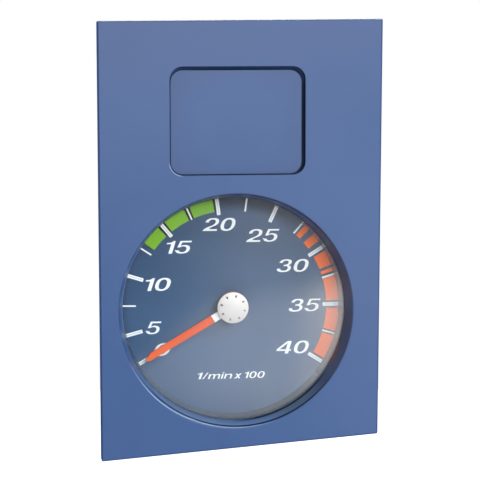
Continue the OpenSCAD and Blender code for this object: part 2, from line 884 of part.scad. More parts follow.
// Two half windings side by side, as flat frames round the former or the layer below
module half_windings(layer, tilt) {
    for (s = [-1, 1])
        translate([dial_x, front_y + d_rotor, dial_z])
            rotate([0, tilt, 0])
                translate([0, 0, s * (coil_in + coil_out) / 2 - (coil_out - coil_in) / 2])
                    linear_extrude(coil_out - coil_in)
                        difference() {
                            rounded_rect(
                                2 * (former_r + coil_t), former_h + 2 * (layer + 1) * coil_t,
                                0.8 * coil_t
                            );
                            square([2 * former_r, former_h + 2 * layer * coil_t], center = true);
                        }
}

module coil_inner() {
    color(copper)
        half_windings(0, 90);
}

module coil_outer() {
    color(copper)
        half_windings(1, 0);
}

module front_bush() {
    color(brass)
        on_dial(d_coil, d_coil + bush_len)
            difference() {
                circle(r = bush_r, $fn = 48);
                circle(r = spindle_r + run_gap, $fn = 48);
            }
}

module rear_bearing() {
    color(brass)
        difference() {
            on_dial(d_rear_pit, d_rear_pit + bush_len)
                circle(r = bush_r, $fn = 48);
            on_dial(d_rear_pit - 1, d_rear_pit + bush_len - 0.6)
                circle(r = spindle_r + run_gap, $fn = 48);
        }
}

// Small bar magnet that draws the pointer back to zero when the current is off
module return_magnet() {
    color("dimgray")
        on_dial(d_former_back - 2, d_can_floor - 1)
            translate([-pillar_at, -pillar_at])
                circle(r = 0.8, $fn = 32);
}

module shield_can() {
    color(steel)
        difference() {
            turned([
                [can_r, d_can], [can_r + can_t, d_can], [can_r + can_t, d_board],
                [0, d_board], [0, d_can_floor], [can_r, d_can_floor]
            ]);
            for (s = [-1, 1])
                on_dial(d_can_floor - 1, d_board + 1)
                    translate([s * pillar_at, -s * pillar_at])
                        circle(r = 1.1, $fn = 32);
        }
}

module movement_screws() {
    color(steel)
        for (s = [-1, 1])
            screw_back(s * pillar_at, -s * pillar_at, 1.7, d_board_back, d_former_back, 1.8, 1.4);
}

// Section: circuit board

module circuit_board() {
    color([0.2, 0.42, 0.24])
        on_dial(d_board, d_board_back)
            difference() {
                circle(r = board_r);
                for (s = [-1, 1]) {
                    translate([s * lamp_x, lamp_z])
                        circle(r = lamp_d / 2 + 1.5, $fn = 48);
                    translate([s * pillar_at, -s * pillar_at])
                        circle(r = 1.1, $fn = 32);
                }
                for (a = post_angles)
                    translate([post_ring * cos(a), post_ring * sin(a)])
                        circle(d = board_screw_d + 0.3, $fn = 32);
                for (k = [-1:1])
                    translate([k * blade_pitch, -blade_drop])
                        square([blade_w / 2 + 0.2, blade_t + 0.2], center = true);
            }
}

// Sixteen-pin driver chip, standing on its bent legs
module driver_chip() {
    pitch = chip_len / 8;
    stand = chip_t / 5;
    top = d_board - stand - chip_t;
    translate([-chip_x, 0, -chip_drop]) {
        color(black_plastic)
            difference() {
                on_dial(top, d_board - stand)
                    square([chip_w, chip_len], center = true);
                // half-round notch at the first pin's end
                on_dial(top - 1, top + chip_t / 9)
                    translate([0, chip_len / 2])
                        circle(r = chip_w / 5, $fn = 32);
            }
        color(steel)
            for (s = [-1, 1], k = [0:7])
                on_dial(d_board - stand - chip_t / 2, d_board)
                    translate([s * chip_w / 2, (k - 3.5) * pitch])
                        square([lead_d, pitch * 0.4], center = true);
    }
}

// Two smoothing capacitors, each with a waisted sleeve and a scored top
module capacitors() {
    color("midnightblue")
        for (a = cap_angles) {
            x = cap_ring * cos(a);
            z = cap_ring * sin(a);
            r = cap_can_d / 2;
            difference() {
                turned([
                    [0, d_board], [r - 0.3, d_board], [r, d_board - 0.3], [r, d_board - 1.4],
                    [r - 0.4, d_board - 1.8], [r, d_board - 2.2],
                    [r, d_board - cap_can_h + 0.4], [r - 0.4, d_board - cap_can_h],
                    [0, d_board - cap_can_h]
                ], x, z);
                for (t = [0, 90])
                    translate([dial_x + x, front_y + d_board - cap_can_h, dial_z + z])
                        rotate([0, t, 0])
                            cube([cap_can_d * 0.7, 0.4, 0.3], center = true);
            }
        }
}

// Four axial resistors with their leads bent down to the board
module resistors() {
    r = resistor_d / 2;
    end = resistor_len / 2;
    collar = end / 3;
    stand = r + 0.4;
    for (sx = [-1, 1], sz = [-1, 1])
        translate([
            dial_x + sx * resistor_x, front_y + d_board - stand,
            dial_z + resistor_z + sz * resistor_row / 2
        ]) {
            // body with a thicker cap at each end
            color("tan")
                rotate([0, 90, 0])
                    rotate_extrude($fn = 32)
                        polygon([
                            [0, -end], [r - 0.2, -end], [r, 0.3 - end],
                            [r, collar - end], [r - 0.25, collar - end + 0.3],
                            [r - 0.25, end - collar - 0.3], [r, end - collar],
                            [r, end - 0.3], [r - 0.2, end], [0, end]
                        ]);
            color(steel) {
                for (s = [-1, 1])
                    translate([s * resistor_span / 2, stand / 2, 0])
                        cube([lead_d, stand, lead_d], center = true);
                rotate([0, 90, 0])
                    cylinder(h = resistor_span + lead_d, d = lead_d, center = true, $fn = 16);
            }
        }
}

module board_screws() {
    color(steel)
        for (a = post_angles) {
            x = post_ring * cos(a);
            z = post_ring * sin(a);
            r = board_screw_d / 2;
            head_r = board_screw_d - 0.1;
            head = d_board - 0.75 * board_screw_d;
            tip = d_board_back + board_screw_len;
            difference() {
                turned([
                    [0, tip], [r - 0.4, tip], [r, tip - 0.6], [r, d_board], [head_r, d_board],
                    [head_r, d_board - 0.9], [head_r - 0.6, head], [0, head]
                ], x, z);
                for (t = [0, 90])
                    translate([dial_x + x, front_y + head, dial_z + z])
                        rotate([0, t, 0])
                            cube([1.1 * board_screw_d, 1.4, 0.5], center = true);
            }
        }
}

// Section: case

module housing() {
    color(black_plastic)
        difference() {
            union() {
                turned([
                    [case_r - case_t, d_case], [flange_r, d_case], [flange_r, d_case + flange_t],
                    [case_r + 0.8, d_case + flange_t], [case_r, d_case + flange_t + 0.8],
                    [case_r - 0.4, d_back - 1.6], [case_r - 2, d_back], [0, d_back],
                    [0, d_floor], [case_r - case_t - 1.2, d_floor], [case_r - case_t, d_floor - 1]
                ]);
                // ears that carry the case screws
                on_dial(d_case, d_case + flange_t)
                    for (a = ear_angles)
                        rotate(a) {
                            translate([flange_r - 1, -ear_r])
                                square([ear_ring - flange_r + 1, 2 * ear_r]);
                            translate([ear_ring, 0])
                                circle(r = ear_r, $fn = 48);
                        }
                // gussets between the flange and the body
                for (k = [0:gusset_count - 1])
                    translate([dial_x, front_y, dial_z])
                        rotate([-90, 0, 0])
                            rotate([0, 0, (k + 0.5) * 360 / gusset_count])
                                rotate([90, 0, 0])
                                    translate([0, 0, -rib_t / 2])
                                        linear_extrude(rib_t)
                                            polygon([
                                                [case_r - 1, d_case + flange_t - lap],
                                                [flange_r - 0.6, d_case + flange_t - lap],
                                                [flange_r - 0.6, d_case + flange_t + 0.8],
                                                [case_r - 1, d_case + flange_t + 9]
                                            ]);
                // posts for the circuit board
                for (a = post_angles)
                    on_dial(d_board_back, d_floor + lap)
                        translate([post_ring * cos(a), post_ring * sin(a)])
                            circle(r = post_r, $fn = 48);
            }
            for (a = post_angles)
                on_dial(d_board_back - 1, d_board_back + board_screw_len + 1)
                    translate([post_ring * cos(a), post_ring * sin(a)])
                        circle(d = board_screw_d + 2 * pilot_gap, $fn = 32);
            for (a = ear_angles)
                on_dial(d_case - 1, d_case + flange_t + 1)
                    translate([ear_ring * cos(a), ear_ring * sin(a)])
                        circle(d = case_screw_d + 0.4, $fn = 32);
            // keyed sockets for the lamp holders
            for (s = [-1, 1])
                on_dial(d_floor - 1, d_back + 1)
                    translate([s * lamp_x, lamp_z]) {
                        circle(r = holder_r + holder_gap, $fn = 64);
                        for (t = [0, 180])
                            rotate(t - release_turn)
                                sector(lug_r + holder_gap, -lug_angle / 2 - 3, lug_angle / 2 + 3);
                    }
            on_dial(d_floor - 1, d_back + 1)
                translate([0, -blade_drop])
                    square([strip_w + 1 + 2 * neck_gap, neck_h + 2 * neck_gap], center = true);
        }
}

module housing_screws() {
    color(steel)
        for (a = ear_angles)
            screw_back(
                ear_ring * cos(a), ear_ring * sin(a), case_screw_d,
                d_case + flange_t, d_case - case_screw_len,
                case_screw_d + 0.2, 0.7 * case_screw_d + 0.1
            );
}

module terminal_strip() {
    color([0.45, 0.26, 0.16])
        difference() {
            union() {
                on_dial(d_floor - 1.2, d_back)
                    translate([0, -blade_drop])
                        square([strip_w + 1, neck_h], center = true);
                on_dial(d_back, d_strip)
                    translate([0, -blade_drop])
                        rounded_rect(strip_w + strip_h / 2, strip_h, 1.5);
            }
            for (k = [-1:1])
                on_dial(d_floor - 2, d_strip + 1)
                    translate([k * blade_pitch, -blade_drop])
                        square([blade_w + 0.2, blade_t + 0.2], center = true);
        }
}

// Flat blades with a narrow tail through the board and a pierced outer end
module terminal_blades() {
    shoulder = d_board_back + 1.5;
    tip = d_strip + blade_out;
    color(brass)
        for (k = [-1:1])
            translate([
                dial_x + k * blade_pitch, front_y, dial_z - blade_drop - blade_t / 2
            ])
                linear_extrude(blade_t)
                    difference() {
                        polygon([
                            [-blade_w / 4, d_board - 1], [blade_w / 4, d_board - 1],
                            [blade_w / 4, shoulder], [blade_w / 2, shoulder],
                            [blade_w / 2, tip - 1.2], [blade_w / 2 - 1.2, tip],
                            [1.2 - blade_w / 2, tip], [-blade_w / 2, tip - 1.2],
                            [-blade_w / 2, shoulder], [-blade_w / 4, shoulder]
                        ]);
                        translate([0, tip - 4])
                            circle(r = 0.8, $fn = 32);
                    }
}

// Section: lamps

// Twist-lock holder, with two lugs behind the wall and a finger grip outside
module lamp_holder(s) {
    mouth = d_floor - socket_depth;
    head = d_back + holder_gap;
    color("gainsboro")
        difference() {
            union() {
                turned([
                    [0, mouth], [holder_r - 0.5, mouth], [holder_r, mouth + 0.5],
                    [holder_r, head], [grip_flange_r - 0.5, head], [grip_flange_r, head + 0.5],
                    [grip_flange_r, head + 1.4], [grip_flange_r - 0.6, head + 2], [0, head + 2]
                ], s * lamp_x, lamp_z);
                on_dial(d_floor - holder_gap - 1.5, d_floor - holder_gap)
                    translate([s * lamp_x, lamp_z])
                        for (t = [0, 180])
                            rotate(t)
                                sector(lug_r, -lug_angle / 2, lug_angle / 2);
                on_dial(head + 2 - lap, head + 2 + grip_h)
                    translate([s * lamp_x, lamp_z])
                        rounded_rect(2 * holder_r + 2, grip_t, grip_t * 0.35);
            }
            on_dial(mouth - 1, d_floor - 1)
                translate([s * lamp_x, lamp_z])
                    circle(d = lamp_d + 4 * pilot_gap, $fn = 48);
        }
}

// Wedge-base glass lamp, domed towards the dial
module lamp_bulb(s) {
    r = lamp_d / 2;
    base = d_floor - 1;
    dome = base - lamp_len + r;
    color([0.95, 0.93, 0.85, 0.5])
        turned(concat(
            [[0, base], [r - 0.6, base], [r, base - 0.8]],
            [for (i = [0:8]) let (a = 90 * i / 8) [r * cos(a), dome - r * sin(a)]]
        ), s * lamp_x, lamp_z);
}

module lamp_holder_left() {
    lamp_holder(-1);
}

module lamp_bulb_left() {
    lamp_bulb(-1);
}

module lamp_holder_right() {
    lamp_holder(1);
}

module lamp_bulb_right() {
    lamp_bulb(1);
}

fascia();
window_blank();
blank_clips();
fixing_inserts();
lens_seal();
lens();
spacer_ring();
dial_plate();
light_guide();
pointer();
pointer_cap();
spindle();
rotor_magnet();
stop_sector();
zero_stop_pin();
former_front();
former_rear();
coil_inner();
coil_outer();
front_bush();
rear_bearing();
return_magnet();
shield_can();
movement_screws();
circuit_board();
driver_chip();
capacitors();
resistors();
board_screws();
housing();
housing_screws();
terminal_strip();
terminal_blades();
lamp_holder_left();
lamp_bulb_left();
lamp_holder_right();
lamp_bulb_right();
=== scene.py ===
from math import cos, hypot, pi, radians, sin, tan

import bmesh
import bpy
from mathutils import Matrix, Vector


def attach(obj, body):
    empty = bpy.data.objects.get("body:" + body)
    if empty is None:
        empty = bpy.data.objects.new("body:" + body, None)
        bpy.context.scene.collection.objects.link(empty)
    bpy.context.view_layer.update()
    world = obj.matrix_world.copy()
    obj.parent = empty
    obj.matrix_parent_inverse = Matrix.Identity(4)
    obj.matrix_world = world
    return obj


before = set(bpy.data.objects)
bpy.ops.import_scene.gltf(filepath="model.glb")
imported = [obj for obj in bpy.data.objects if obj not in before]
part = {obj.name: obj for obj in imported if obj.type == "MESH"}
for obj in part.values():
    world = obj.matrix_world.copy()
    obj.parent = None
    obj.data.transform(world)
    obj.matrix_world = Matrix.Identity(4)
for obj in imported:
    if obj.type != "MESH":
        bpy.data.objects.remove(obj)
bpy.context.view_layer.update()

# Camera.
# The panel is seen from a little to the left of its face and a little above it,
# with the middle of the round opening just below the middle of the picture.
mm = 0.001
face_y = -12 * mm
dial_x = -1.7 * mm
dial_z = -28.7 * mm
view_yaw = radians(7.217)
view_pitch = radians(5.777)
view_roll = radians(-0.115)
view_distance = 715.2 * mm
view_shift = (1.264 * mm, 25.566 * mm)
picture_width = 36
picture_pixels = 480
focal_pixels = 2000

toward = Vector((
    -sin(view_yaw) * cos(view_pitch), -cos(view_yaw) * cos(view_pitch), sin(view_pitch)
))
level = Vector((cos(view_yaw), -sin(view_yaw), 0))
upright = toward.cross(level)
across = cos(view_roll) * level + sin(view_roll) * upright
upward = cos(view_roll) * upright - sin(view_roll) * level


def put(name, data):
    """Places an object in the scene, made from its mesh, camera or lamp."""
    thing = bpy.data.objects.new(name, data)
    bpy.context.scene.collection.objects.link(thing)
    return thing


camera = put("camera", bpy.data.cameras.new("camera"))
camera.data.sensor_width = picture_width
camera.data.lens = focal_pixels * picture_width / picture_pixels
camera.matrix_world = Matrix.Translation(
    Vector((dial_x, face_y, dial_z))
    + view_shift[0] * across + view_shift[1] * upward + view_distance * toward
) @ Matrix((
    (across.x, upward.x, toward.x, 0),
    (across.y, upward.y, toward.y, 0),
    (across.z, upward.z, toward.z, 0),
    (0, 0, 0, 1),
))
bpy.context.scene.camera = camera
bpy.context.scene.view_settings.view_transform = "Standard"


# Room.
# A white room with a pale floor below the panel, a broad window of light from
# the upper right, a second one in front and a little to the right, and one behind for the case.
def add(tree, kind, sockets=(), **settings):
    """Adds a shader node. Its sockets are given in order or by name, as values or as outputs."""
    made = tree.nodes.new("ShaderNode" + kind)
    for key, value in settings.items():
        setattr(made, key, value)
    pairs = sockets.items() if isinstance(sockets, dict) else enumerate(sockets)
    for key, value in pairs:
        if isinstance(value, bpy.types.NodeSocket):
            tree.links.new(value, made.inputs[key])
        elif value is not None:
            made.inputs[key].default_value = value
    return made


def maths(tree, operation, *values, **settings):
    """The result of one sum on values or outputs."""
    return add(tree, "Math", values, operation=operation, **settings).outputs[0]


def seen_directly(tree):
    """One where the camera, a reflection or a view through glass meets the surface."""
    path = add(tree, "LightPath").outputs
    direct = maths(tree, "MAXIMUM", path["Is Camera Ray"], path["Is Glossy Ray"])
    return maths(tree, "MAXIMUM", direct, path["Is Transmission Ray"])


def bare_material(name):
    """A material with nothing in its node tree yet, and that tree."""
    material = bpy.data.materials.new(name)
    material.use_nodes = True
    material.node_tree.nodes.clear()
    return material, material.node_tree


room_level = 0.22
room = bpy.data.worlds.new("white_room")
room.use_nodes = True
tree = room.node_tree
tree.nodes.clear()
lit = add(tree, "Background", {"Color": (1, 1, 1, 1), "Strength": room_level})
shown = add(tree, "Background", {"Color": (1, 1, 1, 1), "Strength": 1.0})
walls = add(tree, "MixShader", [seen_directly(tree), lit.outputs[0], shown.outputs[0]])
add(tree, "OutputWorld", [walls.outputs[0]])
bpy.context.scene.world = room

floor_z = -200 * mm
floor_size = 800 * mm
floor_glow = 0.25
floor_mesh = bpy.data.meshes.new("floor")
shape = bmesh.new()
bmesh.ops.create_circle(shape, cap_ends=True, segments=96, radius=floor_size)
shape.to_mesh(floor_mesh)
shape.free()
floor = put("floor", floor_mesh)
floor.location = (0, 0, floor_z)
floor_paint, tree = bare_material("floor_paint")
paint = add(tree, "BsdfDiffuse", {"Color": (0.9, 0.9, 0.9, 1)})
glow = add(tree, "Emission", {"Color": (1, 1, 1, 1), "Strength": floor_glow})
dark = add(tree, "Emission", {"Color": (0, 0, 0, 1), "Strength": 0.0})
lift = add(tree, "MixShader", [seen_directly(tree), dark.outputs[0], glow.outputs[0]])
both = add(tree, "AddShader", [paint.outputs[0], lift.outputs[0]])
add(tree, "OutputMaterial", [both.outputs[0]])
floor_mesh.materials.append(floor_paint)


def lamp(name, place, width, height, watts):
    """A flat soft lamp that faces the middle of the panel."""
    light = bpy.data.lights.new(name, "AREA")
    light.shape = "RECTANGLE"
    light.size, light.size_y = width, height
    light.energy = watts
    thing = put(name, light)
    thing.location = place
    aim = Vector((0, 0, -10 * mm)) - thing.location
    thing.rotation_euler = aim.to_track_quat("-Z", "Y").to_euler()


lamp("window_light", (0.78, -0.9, 1.05), 0.3, 0.3, 9.5)
lamp("front_light", (0.3, -1.2, 0.38), 0.6, 0.3, 9)
lamp("back_light", (0.5, 1.3, 0.9), 0.9, 0.7, 24)


# Fascia.
# One moulding in slate blue plastic: face plate, drafted collar of the dial and
# ribbed back. Its skin has the fine grain of a spark-eroded tool, and its edges
# are a little darker and less rough. Painted light and shade are laid over it below.
def new_group(name, inputs, outputs):
    """An empty shader group, its inputs with their values and its outputs by name."""
    group = bpy.data.node_groups.new(name, "ShaderNodeTree")
    for label, value in inputs.items():
        group.interface.new_socket(label, in_out="INPUT", socket_type="NodeSocketFloat")
        group.interface.items_tree[label].default_value = value
    for label in outputs:
        group.interface.new_socket(label, in_out="OUTPUT", socket_type="NodeSocketFloat")
    return group, group.nodes.new("NodeGroupInput"), group.nodes.new("NodeGroupOutput")


def put_group(tree, group, values):
    """Places a shader group in a material with its own values."""
    made = tree.nodes.new("ShaderNodeGroup")
    made.node_tree = group
    for label, value in values.items():
        made.inputs[label].default_value = value
    return made.outputs


def ramp(tree, value, start, end, low=0.0, high=1.0, soft=False):
    """A value carried from one range to another, held at both ends."""
    return add(tree, "MapRange", {
        "Value": value, "From Min": start, "From Max": end, "To Min": low, "To Max": high
    }, interpolation_type="SMOOTHSTEP" if soft else "LINEAR").outputs[0]


# grain of a moulding: fine pits for the bump, broad drifts for the tone
moulded_skin, given, got = new_group(
    "moulded_skin", {"Grain": 2600.0, "Drift": 34.0}, ("Height", "Tone")
)
place = add(moulded_skin, "TexCoord").outputs["Object"]
pits = add(moulded_skin, "TexNoise", {
    "Vector": place, "Scale": given.outputs["Grain"], "Detail": 3.0, "Roughness": 0.6
})
drift = add(moulded_skin, "TexNoise", {
    "Vector": place, "Scale": given.outputs["Drift"], "Detail": 4.0, "Roughness": 0.55
})
moulded_skin.links.new(pits.outputs["Fac"], got.inputs["Height"])
moulded_skin.links.new(drift.outputs["Fac"], got.inputs["Tone"])

# edges that hands and cloths reach, broken up by a fine noise
worn_edge, given, got = new_group(
    "worn_edge", {"Radius": 0.0005, "Breaks": 420.0}, ("Mask",)
)
rounded = add(worn_edge, "Bevel", {"Radius": given.outputs["Radius"]}, samples=4)
true_face = add(worn_edge, "NewGeometry").outputs["Normal"]
turn = add(worn_edge, "VectorMath", [rounded.outputs[0], true_face], operation="DOT_PRODUCT")
bend = ramp(worn_edge, turn.outputs["Value"], 1.0, 0.8)
breaks = add(worn_edge, "TexNoise", {
    "Vector": add(worn_edge, "TexCoord").outputs["Object"],
    "Scale": given.outputs["Breaks"], "Detail": 2.0
})
some = ramp(worn_edge, breaks.outputs["Fac"], 0.3, 0.6, low=0.35)
worn_edge.links.new(maths(worn_edge, "MULTIPLY", bend, some), got.inputs["Mask"])

# dust that settles on faces that look up
settled_dust, given, got = new_group(
    "settled_dust", {"Amount": 0.3, "Clumps": 260.0}, ("Mask",)
)
facing = add(settled_dust, "SeparateXYZ", [add(settled_dust, "NewGeometry").outputs["Normal"]])
upper = ramp(settled_dust, facing.outputs["Z"], 0.25, 0.95)
clumps = add(settled_dust, "TexNoise", {
    "Vector": add(settled_dust, "TexCoord").outputs["Object"],
    "Scale": given.outputs["Clumps"], "Detail": 5.0, "Roughness": 0.7
})
lying = maths(settled_dust, "MULTIPLY", upper, clumps.outputs["Fac"])
mask = maths(settled_dust, "MULTIPLY", lying, given.outputs["Amount"])
settled_dust.links.new(mask, got.inputs["Mask"])


def mixed(tree, share, first, second):
    """Two colours mixed by a share; each is a colour or an output."""
    made = add(tree, "Mix", {0: share}, data_type="RGBA")
    for index, value in ((6, first), (7, second)):
        if isinstance(value, bpy.types.NodeSocket):
            tree.links.new(value, made.inputs[index])
        else:
            made.inputs[index].default_value = value
    return made.outputs[2]


def relief(tree, height, depth):
    """A normal from a height, for a relief so many millimetres deep."""
    return add(tree, "Bump", {"Strength": 1.0, "Distance": depth * mm, "Height": height}).outputs[0]


def shade(colour, factor):
    """A colour made darker or lighter, as a full RGBA value."""
    return tuple(min(1.0, c * factor) for c in colour[:3]) + (1.0,)


def finish(name, colour, roughness, grain=2600.0, depth=0.02, drift=34.0, tone=0.08, even=0.06,
           edge=None, edge_radius=0.5, edge_share=0.6, polish=0.0, dust=0.25, metallic=0.0,
           specular=0.5):
    """A moulded, cast or plated surface: toned base, edge wear, dust and a fine bump.
    grain and drift are per metre, depth and edge_radius in millimetres."""
    material, tree = bare_material(name)
    skin = put_group(tree, moulded_skin, {"Grain": grain, "Drift": drift})
    wear = put_group(tree, worn_edge, {"Radius": edge_radius * mm})
    dusty = put_group(tree, settled_dust, {"Amount": dust})
    base = mixed(tree, skin["Tone"], shade(colour, 1 - tone), shade(colour, 1 + tone))
    share = maths(tree, "MULTIPLY", wear["Mask"], edge_share)
    base = mixed(tree, share, base, tuple(edge or shade(colour, 1.5))[:3] + (1.0,))
    base = mixed(tree, dusty["Mask"], base, (0.55, 0.53, 0.5, 1.0))
    rough = ramp(tree, skin["Tone"], 0.3, 0.7, roughness - even, roughness + even)
    rough = maths(tree, "ADD", rough, dusty["Mask"])
    polish_and_shine = maths(tree, "MULTIPLY", wear["Mask"], polish)
    shader = add(tree, "BsdfPrincipled", {
        "Base Color": base, "Roughness": maths(tree, "SUBTRACT", rough, polish_and_shine, use_clamp=True),
        "Metallic": metallic, "Specular IOR Level": specular,
        "Normal": relief(tree, skin["Height"], depth)
    })
    add(tree, "OutputMaterial", [shader.outputs[0]])
    return material


def dress(name, material):
    """Gives a CAD node its finish."""
    for slot in part[name].material_slots:
        slot.material = material


def product(tree, first, *others):
    """Masks or values multiplied together."""
    for other in others:
        first = maths(tree, "MULTIPLY", first, other)
    return first


def between(tree, value, start, end, fade):
    """A mask between two limits, with a short fade inside each."""
    return product(tree, ramp(tree, value, start, start + fade), ramp(tree, value, end, end - fade))


def position(tree):
    """Distance from the dial's axis, then the three distances along the axes of the part."""
    place = add(tree, "TexCoord").outputs["Object"]
    from_axis = add(tree, "VectorMath", [place, (dial_x, 0, dial_z)], operation="SUBTRACT")
    flat = add(tree, "VectorMath", [from_axis.outputs[0], (1, 0, 1)], operation="MULTIPLY")
    radius = add(tree, "VectorMath", [flat.outputs[0]], operation="LENGTH")
    axes = add(tree, "SeparateXYZ", [place]).outputs
    return radius.outputs["Value"], axes["X"], axes["Y"], axes["Z"]


def towards(tree, spot, angle):
    """The cosine of the angle between a place and one direction from the dial's axis."""
    radius, x, y, z = spot
    along = product(tree, maths(tree, "SUBTRACT", x, dial_x), cos(radians(angle)))
    rise = product(tree, maths(tree, "SUBTRACT", z, dial_z), sin(radians(angle)))
    return maths(tree, "DIVIDE", maths(tree, "ADD", along, rise), radius)


def sector(tree, spot, angle, reach, full, low=0.0, high=1.0):
    """A mask round the dial: low beyond reach degrees from a direction, high within full."""
    edges = cos(radians(reach)), cos(radians(full))
    return ramp(tree, towards(tree, spot, angle), *edges, low, high)


def laid_over(material, share, colour, roughness=None):
    """Lays one more colour, and a roughness of its own, over a finish by a mask."""
    tree = material.node_tree
    shader = next(n for n in tree.nodes if n.type == "BSDF_PRINCIPLED").inputs
    base = shader["Base Color"].links[0].from_socket
    tree.links.new(mixed(tree, share, base, colour), shader["Base Color"])
    if roughness is not None:
        under = shader["Roughness"].links[0].from_socket
        over = product(tree, maths(tree, "SUBTRACT", roughness, under), share)
        tree.links.new(maths(tree, "ADD", under, over), shader["Roughness"])


fascia_colour = (0.036, 0.0915, 0.246)
fascia_plastic = finish(
    "fascia_plastic", fascia_colour, 0.36, grain=2400.0, depth=0.012, drift=30.0, tone=0.05,
    edge=(0.02, 0.035, 0.1), edge_radius=0.45, edge_share=0.75, polish=0.2, dust=0.08,
    specular=0.35
)
dress("fascia", fascia_plastic)


def painted_sheen(material):
    """A pale painted sheen, faintest at the foot and shifting from right to left, and a greyer one
    painted at the top.
    """
    tree = material.node_tree
    radius, x, y, z = position(tree)
    upper = ramp(tree, z, -75 * mm, -25 * mm, 0.002, 0.030)
    lean = ramp(tree, z, -26 * mm, 70 * mm, 0.02, -0.02)
    side = product(tree, x, 1 / (50 * mm), lean)
    laid_over(material, maths(tree, "ADD", upper, side, use_clamp=True), (0.6, 0.6, 0.6, 1))
    laid_over(material, ramp(tree, z, 45 * mm, 75 * mm, 0.0, 0.35), (0.05, 0.08, 0.2, 1))


# painted sheen over the plate
painted_sheen(fascia_plastic)

# the collar's wall: painted light near the lip at the bottom, where light from above falls on it
opening_r, ledge_r = 42.1 * mm, 40.6 * mm
tree = fascia_plastic.node_tree
spot = position(tree)
radius, x, y, z = spot
# the lip is a little wider to the right
rim = maths(tree, "SUBTRACT", radius, product(tree, towards(tree, spot, 0), 0.3 * mm))
shallow = product(tree, sector(tree, spot, 262, 60, 25.8),
                  ramp(tree, radius, ledge_r + 0.1 * mm, opening_r - 0.1 * mm))
wall = mixed(tree, shallow, (0.06, 0.122, 0.29, 1), (0.135, 0.265, 0.53, 1))
# its painted shade: direction, degrees off it where each ends and is full, share and colour
for angle, reach, full, most, colour in (
    (35, 101.5, 66.4, 1.0, (0.05, 0.072, 0.175, 1)),
    (28, 25.8, 11.5, 0.8, (0.048, 0.066, 0.135, 1)),
    (335, 25.8, 14.1, 0.8, (0.034, 0.064, 0.16, 1)),
    (303, 17.2, 5.7, 0.85, (0.085, 0.145, 0.235, 1)),
):
    wall = mixed(tree, sector(tree, spot, angle, reach, full, high=most), wall, colour)
laid_over(fascia_plastic, ramp(tree, rim, opening_r + 0.25 * mm, opening_r + 0.1 * mm), wall)

# the foot of the wall: painted shade at the lower right, and a painted orange reflection of the
# zone further up
shaded = product(tree, ramp(tree, radius, ledge_r + 0.35 * mm, ledge_r + 0.22 * mm),
                 sector(tree, spot, 297, 28.4, 16.3))
laid_over(fascia_plastic, shaded, (0.002, 0.006, 0.02, 1), 0.9)
thrown = product(tree, ramp(tree, radius, ledge_r + 0.26 * mm, ledge_r + 0.12 * mm),
                 sector(tree, spot, 335, 6.8, 2.6))
laid_over(fascia_plastic, thrown, (0.34, 0.08, 0.035, 1))

# the lip is bluer below, with a painted highlight line, also less rough, that runs further
# out, and brighter, to the left, and with a painted dark line of shade above and below
lip = between(tree, rim, opening_r - 0.2 * mm, opening_r + 0.9 * mm, 0.1 * mm)
lip = product(tree, lip, sector(tree, spot, 235, 84.3, 72.5))
laid_over(fascia_plastic, lip, (0.042, 0.096, 0.25, 1))
leftward = sector(tree, spot, 205, 43.9, 21.6)
line_place = maths(tree, "SUBTRACT", rim, product(tree, leftward, 0.3 * mm))
line = between(tree, line_place, opening_r - 0.08 * mm, opening_r + 0.24 * mm, 0.07 * mm)
line = product(tree, line, sector(tree, spot, 247, 43.9, 18.2))
shine = mixed(tree, leftward, (0.29, 0.45, 0.7, 1), (0.4, 0.58, 0.88, 1))
laid_over(fascia_plastic, line, shine, 0.2)
far_up = ramp(tree, maths(tree, "ABSOLUTE", maths(tree, "SUBTRACT", z, dial_z)), 22 * mm, 32 * mm)
shade_line = between(tree, rim, opening_r - 0.42 * mm, opening_r - 0.05 * mm, 0.08 * mm)
laid_over(fascia_plastic, product(tree, shade_line, far_up), (0.006, 0.016, 0.045, 1), 0.9)

# painted shade on the window's edge and in the gap round the blank, and a painted highlight, also
# less rough, at its lower left corner
window_x, window_z = -1.0 * mm, 39.4 * mm
window_w, window_h, window_r = 48.5 * mm, 38.5 * mm, 4.6 * mm


def from_window(tree, x, z):
    """Distances from the middle of the window, then the distance outside its rounded outline."""
    right = maths(tree, "SUBTRACT", x, window_x)
    above = maths(tree, "SUBTRACT", z, window_z)
    beyond = [
        maths(tree, "MAXIMUM", maths(tree, "SUBTRACT", maths(tree, "ABSOLUTE", value),
                                     size / 2 - window_r), 0.0)
        for value, size in ((right, window_w), (above, window_h))
    ]
    corner = maths(tree, "SQRT", maths(tree, "ADD", *(product(tree, b, b) for b in beyond)))
    return right, above, maths(tree, "SUBTRACT", corner, window_r)


def gap_shade(tree, right, above, darkest):
    """Painted shade in the gap: dark blue at the lower left, darkest at the upper right."""
    upper_right = ramp(tree, maths(tree, "ADD", right, above), -16 * mm, 4 * mm)
    return mixed(tree, upper_right, (0.02, 0.07, 0.24, 1), darkest)


right, above, outside = from_window(tree, x, z)
turned_in = product(tree, ramp(tree, outside, 0.5 * mm, 0.42 * mm),
                    ramp(tree, y, face_y + 0.02 * mm, face_y + 0.09 * mm, high=0.9))
laid_over(fascia_plastic, turned_in, (0.008, 0.035, 0.13, 1), 1.0)
in_gap = gap_shade(tree, right, above, (0.002, 0.02, 0.045, 1))
in_gap = mixed(tree, ramp(tree, above, 16 * mm, 18.5 * mm), in_gap, (0.014, 0.055, 0.17, 1))
deep_inside = product(tree, ramp(tree, outside, 0.15 * mm, 0.0),
                      ramp(tree, y, face_y + 0.2 * mm, face_y + 0.7 * mm))
laid_over(fascia_plastic, deep_inside, in_gap, 1.0)
low_left = ramp(tree, maths(tree, "ADD", right, above), -38.9 * mm, -40.3 * mm)
polish_and_shine = product(tree, between(tree, outside, -0.05 * mm, 0.4 * mm, 0.1 * mm), low_left)
laid_over(fascia_plastic, polish_and_shine, (0.24, 0.34, 0.56, 1), 0.2)
